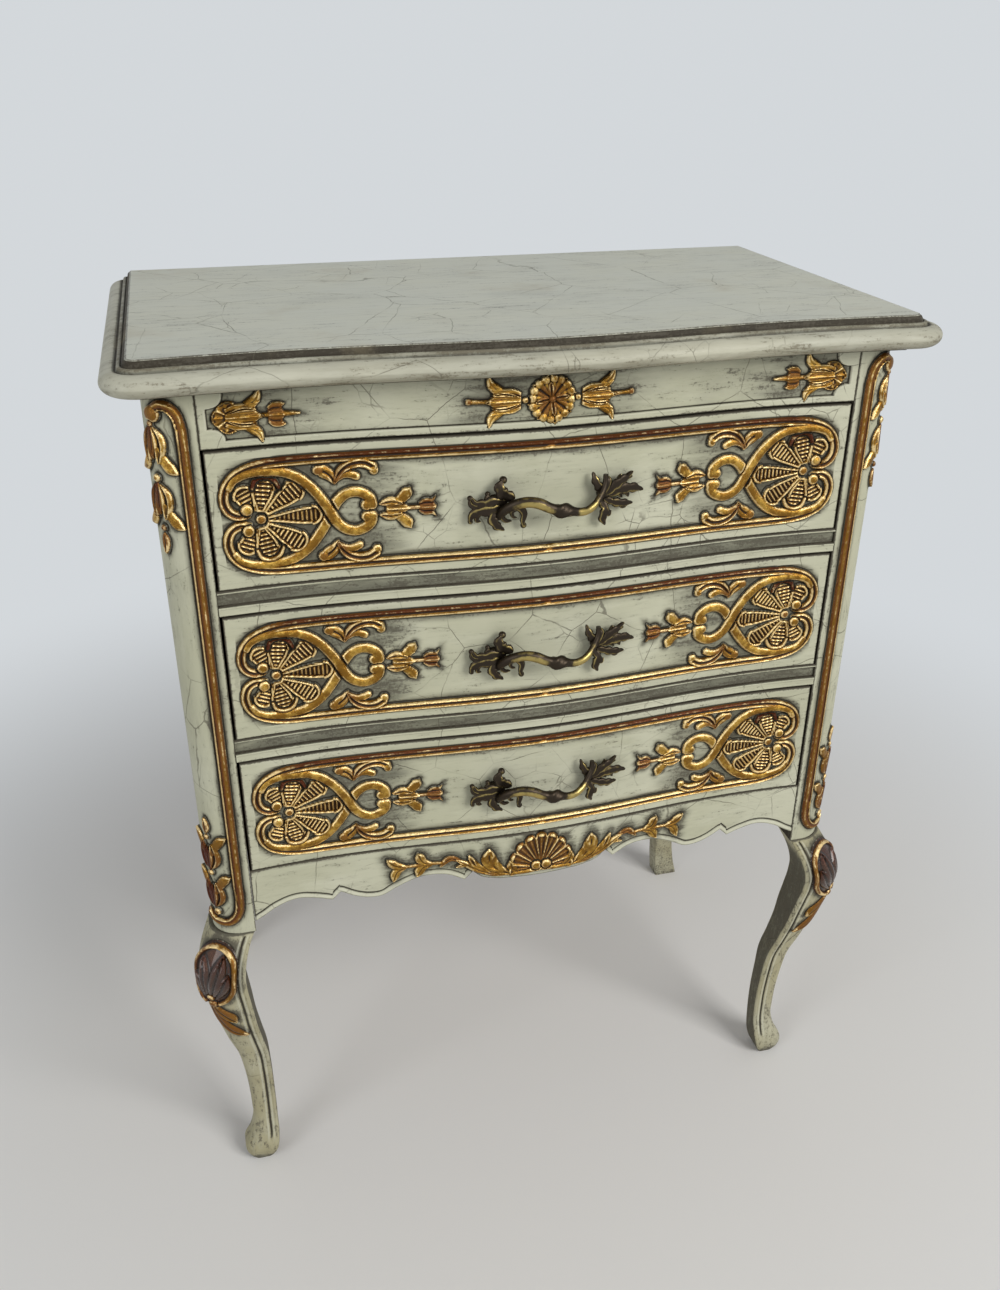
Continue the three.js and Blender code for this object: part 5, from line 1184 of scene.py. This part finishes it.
class CHEST_OT_front_legs(bpy.types.Operator):
    """Builds the cabriole front legs with their carved knees"""

    bl_idname = "chest.front_legs"
    bl_label = "Front Legs"

    def execute(self, context):
        front, top, swell = front_y(STILE_INNER), LEG_HEIGHT - SEAT_GAP, size("knee_swell")
        zs = stations(0.0, (6.0, 1.0), (190.0, 3.0), (top, size("fine_step")))
        side, forward, width, depth, corner = (curve_through(LEG_STATIONS[:, 0], LEG_STATIONS[:, k], zs / top)
                                               for k in range(1, 6))
        outer, face = SIDE_LINE + swell * side, front - swell * forward
        rings = [leg_ring(*level) for level in zip(outer - width, outer, face, face + depth, corner)]
        base, normal, reach = (np.array(values) for values in zip(*rings))
        z = np.repeat(zs[:, None], base.shape[1], axis=1)
        w = ((base[..., 0] - SIDE_LINE) + (base[..., 1] - front)) / math.sqrt(2)
        seen = (normal[..., 0] - normal[..., 1]) / math.sqrt(2) > 0.15
        carving = knee_carving(np.where(seen, w, 400.0), z)
        drawn = (normal[..., 1] < -0.9) * ease(z, 22, 34) * (1 - ease(z, top - 5, top - 1))
        line = (bell(reach, 8.2, 1.25) + 0.35 * bell(reach, 3.6, 0.6)) * drawn
        height = carving.height * seen - 1.3 * line
        carving.grime_and_shade *= seen
        # Painted shade with grime in the incised line.
        carving.darken(1.1 * line)
        # Darker towards the foot and the lower leg.
        carving.darken(0.75 * (1 - ease(z, 0.0, 22.0)))
        carving.darken(0.30 * (1 - ease(z, 40.0, 210.0)))
        # A painted shadow at the top of the leg, under the stile's block.
        carving.darken(0.9 * ease(z, top - 3.5, top))
        # Painted shade on the inner side faces, except near the top.
        carving.darken(0.95 * (normal[..., 0] < -0.9) * (1 - ease(z, top - 30, top - 4)))
        masks = masks_of(carving, 0.6 * bell(reach, 2.0, 1.4))
        # Painted shade in the incised line and painted highlights on the pale lines beside it.
        masks["hollow"] = np.maximum(masks["hollow"] * seen, 0.6 * line)
        masks["crest"] = np.maximum(masks["crest"] * seen, drawn * (bell(reach, 5.6, 0.9) + bell(reach, 11.2, 0.9)))
        material = aged_paint("carved_leg_paint", context.scene.chest_colours.leg_paint_and_shade, grain=(1.0, 1.0, 0.2),
                              carved=True, worn_more=0.05)
        add_pair("carved_leg", levels(base + normal * height[..., None], zs), masks, material, "leg_front")
        return {"FINISHED"}


# Rear posts up to where they run straight: height, kick back, inset of the outer face, width and depth
POST_STATIONS = np.array([
    (0.0, REAR_FOOT_KICK, -REAR_FOOT_SPLAY, 30.0, 24.0), (25.0, 34.2, 1.5, 27.0, 23.0), (65.0, 28.9, 8.0, 24.0, 23.0),
    (120.0, 22.0, 8.0, 24.0, 23.0), (200.0, 9.1, 6.0, 26.0, 25.5), (280.0, 1.1, 2.0, 32.0, 33.0),
    (336.0, 0.0, 0.0, 36.0, 38.0),
])


class CHEST_OT_rear_posts(bpy.types.Operator):
    """Builds the rear posts with their splayed feet"""

    bl_idname = "chest.rear_posts"
    bl_label = "Rear Posts"

    def execute(self, context):
        zs = stations(0.0, (POST_STATIONS[-1, 0], 4.0), (CASE_TOP, 40.0))
        kick, inset, width, depth = (curve_through(POST_STATIONS[:, 0], POST_STATIONS[:, k], zs) for k in range(1, 5))
        x1, y1, rounding = SIDE_LINE - inset, BACK_LINE + kick - BACK_PLAY, 2.0
        x0, y0 = x1 - width + rounding, y1 - depth + rounding
        x1, y1 = x1 - rounding, y1 - rounding
        ring = [np.stack([x + rounding * math.cos(t), y + rounding * math.sin(t)], axis=-1)
                for x, y, start in ((x0, y0, 180), (x1, y0, 270), (x1, y1, 0), (x0, y1, 90))
                for t in np.radians(np.linspace(start, start + 90, 4))]
        points = levels(np.stack(ring + ring[:1], axis=1), zs)
        # Darker towards the foot.
        masks = {"edge": np.full(points.shape[:2], 0.5), "grime_and_shade": 0.5 * (1 - ease(points[..., 2], 0.0, 16.0))}
        material = aged_paint("paint_posts", context.scene.chest_colours.leg_paint_and_shade, grain=(1.0, 1.0, 0.2))
        add_pair("rear_post_piece", points, masks, material, "rear_post")
        return {"FINISHED"}


# Moulding of the top, as (inset, rise) from its outer edge and underside
TOP_PROFILE = (
    [(26.5, 0.0), (25.7, 0.6), (25.4, 4.6), (18.0, 4.9)]
    + [(11 - 11 * math.cos(t), 13.6 + 8.6 * math.sin(t)) for t in np.radians(np.linspace(-90, 84, 20))]
    + [(11.6, 21.6), (12.2, 21.2), (12.8, 21.2), (13.2, 21.8), (13.4, 23.4), (13.8, 24.4), (14.6, 24.8), (15.6, 24.8),
       (16.4, 24.5), (16.8, 24.1), (17.2, 24.2)]
    + [(17.3 + 2.6 * (1 - math.cos(t)), 24.4 + 4.6 * math.sin(t)) for t in np.radians(np.linspace(8, 82, 8))]
    + [(20.1, 29.3), (20.4, 29.8), (21.0, 30.0), (22.0, 30.0)]
)


class CHEST_OT_top(bpy.types.Operator):
    """Builds the moulded top board"""

    bl_idname = "chest.top"
    bl_label = "Top"

    def execute(self, context):
        half, back = TOP_HIGH[:2]
        overhang, moulding = size("overhang_front"), TOP_PROFILE[-1][0]
        rings, dirt_and_shade, worn = [], [], []
        for inset, rise in TOP_PROFILE:
            side, radius = half - inset, 6.0 + (moulding - inset)
            rear = max(0.6, 10.0 * (1 - inset / moulding))
            xs = np.linspace(radius - side, side - radius, 81)
            front = list(zip(xs, front_y(xs, overhang - inset)))
            centre_y = front[-1][1] + radius
            right = [(side - radius + radius * math.sin(t), centre_y - radius * math.cos(t))
                     for t in np.linspace(0, math.pi / 2, 15)[1:]]
            right += [(side - rear + rear * math.cos(t), back - rear + rear * math.sin(t))
                      for t in np.linspace(0, math.pi / 2, 7)]
            ring = front + right + [(-x, y) for x, y in reversed(right)]
            rings.append([(x, y, TOP_LOW[2] + rise) for x, y in ring + ring[:1]])
            # Darker bands along the moulding: grime with painted shade in the groove, cove and fillet; painted shade
            # under the moulding by the body; the torus, darker on its lower half as painted shade.
            groove = bell(inset, 12.4, 1.0) + 0.5 * bell(inset, 11.0, 2.0) * (rise > 20)
            cove = 1.4 if 16.2 < inset < 22 and 20 < rise < 29.2 else 0.0
            fillet = 0.62 if 13.0 < inset < 16.2 else 0.0
            shade = 1.4 if rise < 5 and inset > 14 else 0.0
            torus = 0.36 + 0.14 * (rise < 13) if inset < 11.5 else 0.0
            dirt_and_shade.append([max(min(1.2, 1.2 * groove), cove, fillet, shade, torus)] * len(rings[-1]))
            worn.append([bell(inset, 20.6, 0.7) + 0.4 * bell(inset, 15.0, 0.8)] * len(rings[-1]))
        mesh = woven("moulded_top", np.array(rings), {"grime_and_shade": np.array(dirt_and_shade), "edge": np.array(worn)})
        material = aged_paint("paint_top", context.scene.chest_colours.top_paint_and_sheen, crack_scale=9.5, stained=True,
                              crack_depth=0.55, gloss=0.30)
        add_piece(mesh, material, "carcase", "top_board", smooth=30.0)
        return {"FINISHED"}


# Bronze pulls: points are (x, stand-off, rise); a leaf's last number is its width, a knob's its radius
PULL_BAR = (
    (-44.5, 6, -11), (-41.5, 12, -4), (-34, 17, 2.4), (-24.5, 20, 5.0), (-15.5, 21.5, 3.6), (-6.5, 22, -0.8),
    (2, 22, -3.6), (10, 22, -4.6), (18, 21, -6.8), (26, 18.5, -7.2), (34, 15, -4.0), (40, 11.5, 2.2), (44, 9, 10),
    (44.5, 8, 18),
)
PULL_LEAVES = (
    ((-32, 9, 5), (-37, 8, 7), (-43.5, 9, 11.5), (-44, 9, 16.5), (-40.5, 7, 20.5), 10.0),
    ((-38, 6, 1), (-48, 8, 3), (-57, 8, 1.5), (-63, 7, 2), (-66, 5, 6), 8.5),
    ((-58, 6, 1), (-63, 7, -1), (-67, 6, 1), (-68, 5, 5), 5.0),
    ((-52, 5, 2), (-54, 7, 5), (-53, 6, 9), 5.0),
    ((-40, 6, -2), (-52, 8, -4), (-61, 8, -5), (-67, 7, -9), (-67, 5, -15), 9.0),
    ((-58, 6, -6), (-62, 7, -9), (-62, 6, -13), (-59, 5, -14), 4.6),
    ((-46, 6, -4), (-50, 8, -10), (-47, 8, -17), (-40, 6, -22.5), 8.0),
    ((-42, 6, -3), (-43, 8, -9), (-39, 8, -14), (-34, 6, -15), 4.4),
    ((-42, 8, -4), (-36, 9, -1.5), (-28, 9, -3.5), (-24, 8, -9), (-25, 8, -16), (-23, 6, -21), 6.6),
    ((-26, 8, -6), (-30, 8, -4.5), (-34, 8, -7), (-33, 8, -11), (-30, 7, -12), 4.0),
    ((42, 7, -2), (40, 8, 6), (36, 8, 13), (34, 6, 20), 7.4),
    ((40, 7, 0), (45, 9, 8), (47, 8, 14), (45, 6, 16), 7.0),
    ((46, 7, 1), (53, 9, 8), (60, 9, 12.5), (68, 6, 13.5), 8.2),
    ((54, 6, 8), (56, 8, 12), (58, 6, 16), 4.8),
    ((62, 6, 12), (65, 7, 15), (69, 5, 17), 4.4),
    ((48, 7, 0), (58, 9, 4), (68, 8, 4), (79, 5, 0.5), 9.2),
    ((60, 7, 3), (64, 7, 0), (66, 5, -4), 4.8),
    ((54, 7, 2), (58, 7, -1), (60, 5, -4), 4.4),
    ((44, 7, -3), (54, 8, -7), (62, 8, -8.5), (70, 5, -10), 7.4),
    ((58, 6, -8), (60, 7, -11), (64, 5, -13), 4.2),
    ((40, 6, -5), (37, 7, -8), (34, 5, -13), 5.4),
    ((42, 6, -5), (45, 9, -12), (43, 9, -18), (46, 6, -26), 8.0),
    ((45, 7, -14), (49, 7, -17), (51, 5, -15), 4.6),
)
PULL_KNOBS = ((-40.8, 6.5, 20.0, 3.2), (-67.0, 4.5, 5.6, 2.4), (-53, 5.0, 8.6, 2.2), (-67, 4.5, -14.0, 2.2),
              (-23.6, 5.5, -20.0, 2.6))


def swept(points, width, height, sides, groove=0.0, teeth=0.0, twist=None):
    """A limb swept along a path of (x, stand-off, rise), as wide and high as the functions of its length say."""
    path = spline(points, 64 if twist else 18)
    along = np.linspace(0.0, 1.0, len(path))
    tangent = np.gradient(path, axis=0)
    tangent /= np.linalg.norm(tangent, axis=1)[:, None]
    up = np.array([0.0, 1.0, 0.0]) - tangent * tangent[:, 1:2]
    up /= np.linalg.norm(up, axis=1)[:, None]
    side = np.cross(tangent, up)
    turn = np.linspace(0.0, 2 * np.pi, sides + 1)
    cos, sin = np.cos(turn)[None, :], np.sin(turn)[None, :]
    wide, high = width(along)[:, None], height(along)[:, None]
    if teeth:
        wide = wide * (1 + teeth * (np.abs(np.sin(3.5 * np.pi * along)) - 0.5))[:, None]
    collar = np.zeros((len(path), 1))
    if twist:
        collar = np.exp(-(((along - twist[0]) / twist[1]) ** 4))[:, None]
        swell = 1 + collar * (0.45 + 0.22 * np.cos(3 * turn[None, :] + 60 * along[:, None]))
        wide, high = wide * swell, high * swell
    dip = 1 - groove * bell(cos, 0.0, 0.25) * (sin > 0)
    local = (path[:, None, :] + side[:, None, :] * (wide * cos)[..., None]
             + up[:, None, :] * (high * sin * dip)[..., None])
    ridge = bell(cos, -0.5, 0.2) + 0.5 * bell(cos, 0.5, 0.2) if groove else 1.0
    # Brass on the side of each limb that faces out, a painted highlight, and on the ridges of grooved leaves, rubbed
    # wear; less on the collar.
    polish_and_highlight = np.clip(sin * 0.6 + 0.30, 0, 1) * ridge * np.ones_like(wide) * (1 - 0.55 * collar)
    return local, polish_and_highlight


def pull_mesh(number):
    """One S-shaped pull with its leafy plates."""
    middle = sum(DRAWER_SPANS[number]) / 2
    limbs = []

    def place(local, polish_and_highlight, name):
        x, stand, rise = np.moveaxis(local, -1, 0)
        points = np.stack([x, front_y(x, np.maximum(stand, 0.5)), middle + rise], axis=-1)
        limbs.append(woven(name, points, {"polish_and_highlight": polish_and_highlight}))

    def bar_girth(s):
        return np.interp(s, [0, 0.15, 0.35, 0.5, 0.7, 0.88, 1], [3.4, 4.2, 4.6, 4.0, 3.3, 2.9, 2.0])

    local, polish_and_highlight = swept(PULL_BAR, bar_girth, lambda s: bar_girth(s) * 0.92, 24, twist=(0.52, 0.055))
    x = local[..., 0]
    # Brass along two stretches of the bar, rubbed and painted highlight, and a dark strip along one side of its left
    # half.
    bright = np.exp(-(((x + 20) / 15) ** 4)) + np.exp(-(((x - 27) / 11) ** 4))
    seam = bell(np.cos(np.linspace(0.0, 2 * np.pi, x.shape[1])), 0.55, 0.22) * (x < 4)
    place(local, np.clip(polish_and_highlight * (0.15 + 0.85 * bright) * (1 - 0.9 * seam), 0, 1), "bar")
    for *points, width in PULL_LEAVES:
        def wide(s, w=width):
            return w / 2 * (0.35 + 0.65 * np.sin(np.pi * np.clip(s, 0, 1) ** 0.9) ** 0.6) * (1 - 0.50 * s**6)

        local, polish_and_highlight = swept(points, wide, lambda s: 2.6 - 0.9 * s, 14, groove=0.6, teeth=0.42 if width > 7 else 0.0)
        place(local, np.clip(polish_and_highlight * 1.25, 0, 1), "leaf")
    for x, stand, rise, radius in PULL_KNOBS:
        def girth(s, r=radius):
            return r * np.sqrt(np.clip(1 - (2 * s - 1) ** 2, 0.002, 1))

        ball, _ = swept([(x - radius, stand, rise), (x + radius, stand, rise)], girth, girth, 12)
        # Brass on the front of each knob: a painted highlight.
        place(ball, 0.45 * np.clip((ball[..., 1] - stand) / radius, 0, 1) ** 3, "knob")
    turn = np.linspace(0, 2 * np.pi, 17)
    for x in (-46.5, 46.0):
        ring = np.stack([np.stack([x + r * np.cos(turn), np.full(turn.shape, off), r * np.sin(turn)], axis=-1)
                         for off, r in ((0.5, 6.5), (3.0, 6.2), (6.0, 5.2), (8.2, 3.0), (8.8, 0.3))])
        place(ring, np.full(ring.shape[:2], 0.15), "boss")
    return joined(f"leafy_pull_{number}", limbs)


class CHEST_OT_pulls(bpy.types.Operator):
    """Builds the bronze pulls"""

    bl_idname = "chest.pulls"
    bl_label = "Pulls"

    def execute(self, context):
        material = bronze_metal()
        for number in DRAWERS:
            add_piece(pull_mesh(number), material, f"drawer_{number}", f"drawer_{number}_pull", smooth=50.0)
        return {"FINISHED"}


class CHEST_OT_inner_woodwork(bpy.types.Operator):
    """Gives the panels and the inner parts their paint, wood and steel"""

    bl_idname = "chest.inner_woodwork"
    bl_label = "Panels and Inner Parts"

    def execute(self, context):
        colours = context.scene.chest_colours
        beech, plywood = bare_wood("beech_bare", colours.beech), bare_wood("plywood_bare", colours.plywood, 0.6)
        steel = plain_metal("steel_plain", colours.steel)
        panel = aged_paint("paint_panels", colours.paint, grain=(1.0, 1.0, 0.2))
        for name, node in frame["nodes"].items():
            slot = next(p["material_slot"] for p in frame["record"]["subparts"] if p["node"] == name)
            finish = {"bare_wood": beech, "plywood": plywood, "steel": steel}.get(slot, panel)
            node.data.materials.clear()
            node.data.materials.append(finish)
        return {"FINISHED"}


# Camera at the photograph's angle: place in metres, turn, tilt, roll in radians, and focal length in picture heights
CAMERA_PLACE = (-0.27235, -1.03336, 1.05491)
CAMERA_TURN, CAMERA_TILT, CAMERA_ROLL = 0.262974, 0.482613, 0.0051373
CAMERA_FOCAL_SHARE = 1177.258 / 1290.0


class CHEST_OT_stage(bpy.types.Operator):
    """Sets up the floor, the light and the camera"""

    bl_idname = "chest.stage"
    bl_label = "Stage"

    def execute(self, context):
        scene = context.scene
        scene.view_settings.view_transform = "Standard"
        turn, tilt, roll = CAMERA_TURN, CAMERA_TILT, CAMERA_ROLL
        ahead = Vector((math.sin(turn) * math.cos(tilt), math.cos(turn) * math.cos(tilt), -math.sin(tilt)))
        right = Vector((math.cos(turn), -math.sin(turn), 0.0))
        up = right.cross(ahead)
        right, up = math.cos(roll) * right + math.sin(roll) * up, math.cos(roll) * up - math.sin(roll) * right
        data = bpy.data.cameras.new("camera")
        data.sensor_width = 36.0
        data.lens = 36.0 * CAMERA_FOCAL_SHARE
        camera = bpy.data.objects.new("camera", data)
        camera.matrix_world = Matrix.Translation(CAMERA_PLACE) @ Matrix((right, up, -ahead)).transposed().to_4x4()
        scene.collection.objects.link(camera)
        scene.camera = camera
        bm = bmesh.new()
        bmesh.ops.create_grid(bm, x_segments=1, y_segments=1, size=30.0)
        mesh = bpy.data.meshes.new("floor")
        bm.to_mesh(mesh)
        bm.free()
        backdrop = tuple(scene.chest_colours.backdrop)
        paint = Paint("stage_floor")
        floor_paint = paint.node("ShaderNodeBsdfDiffuse", {}, {"Color": (*scene.chest_colours.floor, 1.0)})
        glow = paint.node("ShaderNodeEmission", {}, {"Color": (*backdrop, 1.0), "Strength": 1.0})
        distance = paint.node("ShaderNodeVectorMath", {"operation": "LENGTH"}, {0: paint.place}, "Value")
        seen = paint.seen_background()
        paint.end(paint.node("ShaderNodeMixShader", {}, {0: distance.step(0.40, 1.45) * seen, 1: floor_paint, 2: glow}))
        mesh.materials.append(paint.material)
        floor = bpy.data.objects.new("floor", mesh)
        scene.collection.objects.link(floor)
        world = bpy.data.worlds.new("studio")
        sky = Paint("studio", world)
        light = sky.node("ShaderNodeBackground", {}, {"Strength": scene.chest_sizes.sky})
        pale = sky.node("ShaderNodeBackground", {}, {"Color": (*backdrop, 1.0)})
        sky.end(sky.node("ShaderNodeMixShader", {}, {0: sky.seen_background(), 1: light, 2: pale}))
        scene.world = world
        self.add_lamp("key_light", (1.6, -2.6, 2.3), (1.6, 1.6), scene.chest_sizes.key_power, (1.0, 0.985, 0.96))
        self.add_lamp("side_light", (-2.2, -1.6, 1.5), (1.2, 1.6), scene.chest_sizes.fill_power, (0.97, 0.985, 1.0))
        return {"FINISHED"}

    @staticmethod
    def add_lamp(name, place, extent, power, colour):
        """A large soft lamp that faces the chest."""
        data = bpy.data.lights.new(name, "AREA")
        data.shape, data.size, data.size_y = "RECTANGLE", *extent
        data.energy, data.color = power, colour
        lamp = bpy.data.objects.new(name, data)
        aim = (Vector((0.0, 0.0, 0.5)) - Vector(place)).to_track_quat("-Z", "Y")
        lamp.matrix_world = Matrix.Translation(place) @ aim.to_matrix().to_4x4()
        bpy.context.scene.collection.objects.link(lamp)


STEPS = (
    CHEST_OT_inner_woodwork, CHEST_OT_top, CHEST_OT_rails, CHEST_OT_frieze, CHEST_OT_drawer_fronts, CHEST_OT_apron,
    CHEST_OT_stiles, CHEST_OT_front_legs, CHEST_OT_rear_posts, CHEST_OT_pulls, CHEST_OT_stage,
)


class CHEST_PT_panel(bpy.types.Panel):
    """Lists the chest's pieces, sizes and colours"""

    bl_label = "Commode Chest"
    bl_idname = "CHEST_PT_panel"
    bl_space_type = "VIEW_3D"
    bl_region_type = "UI"
    bl_category = "Commode Chest"

    def draw(self, context):
        for step in STEPS:
            self.layout.operator(step.bl_idname)
        for group in (context.scene.chest_sizes, context.scene.chest_colours):
            for key in group.bl_rna.properties.keys():
                if key not in ("rna_type", "name"):
                    self.layout.prop(group, key)


CLASSES = (ChestSizes, ChestColours, *STEPS, CHEST_PT_panel)


def register():
    for cls in CLASSES:
        bpy.utils.register_class(cls)
    bpy.types.Scene.chest_sizes = bpy.props.PointerProperty(type=ChestSizes)
    bpy.types.Scene.chest_colours = bpy.props.PointerProperty(type=ChestColours)


def unregister():
    del bpy.types.Scene.chest_colours
    del bpy.types.Scene.chest_sizes
    for cls in reversed(CLASSES):
        bpy.utils.unregister_class(cls)


def main():
    """Builds every piece in turn."""
    register()
    for step in STEPS:
        group, name = step.bl_idname.split(".")
        getattr(getattr(bpy.ops, group), name)()
    bpy.context.view_layer.update()


if __name__ == "__main__":
    main()
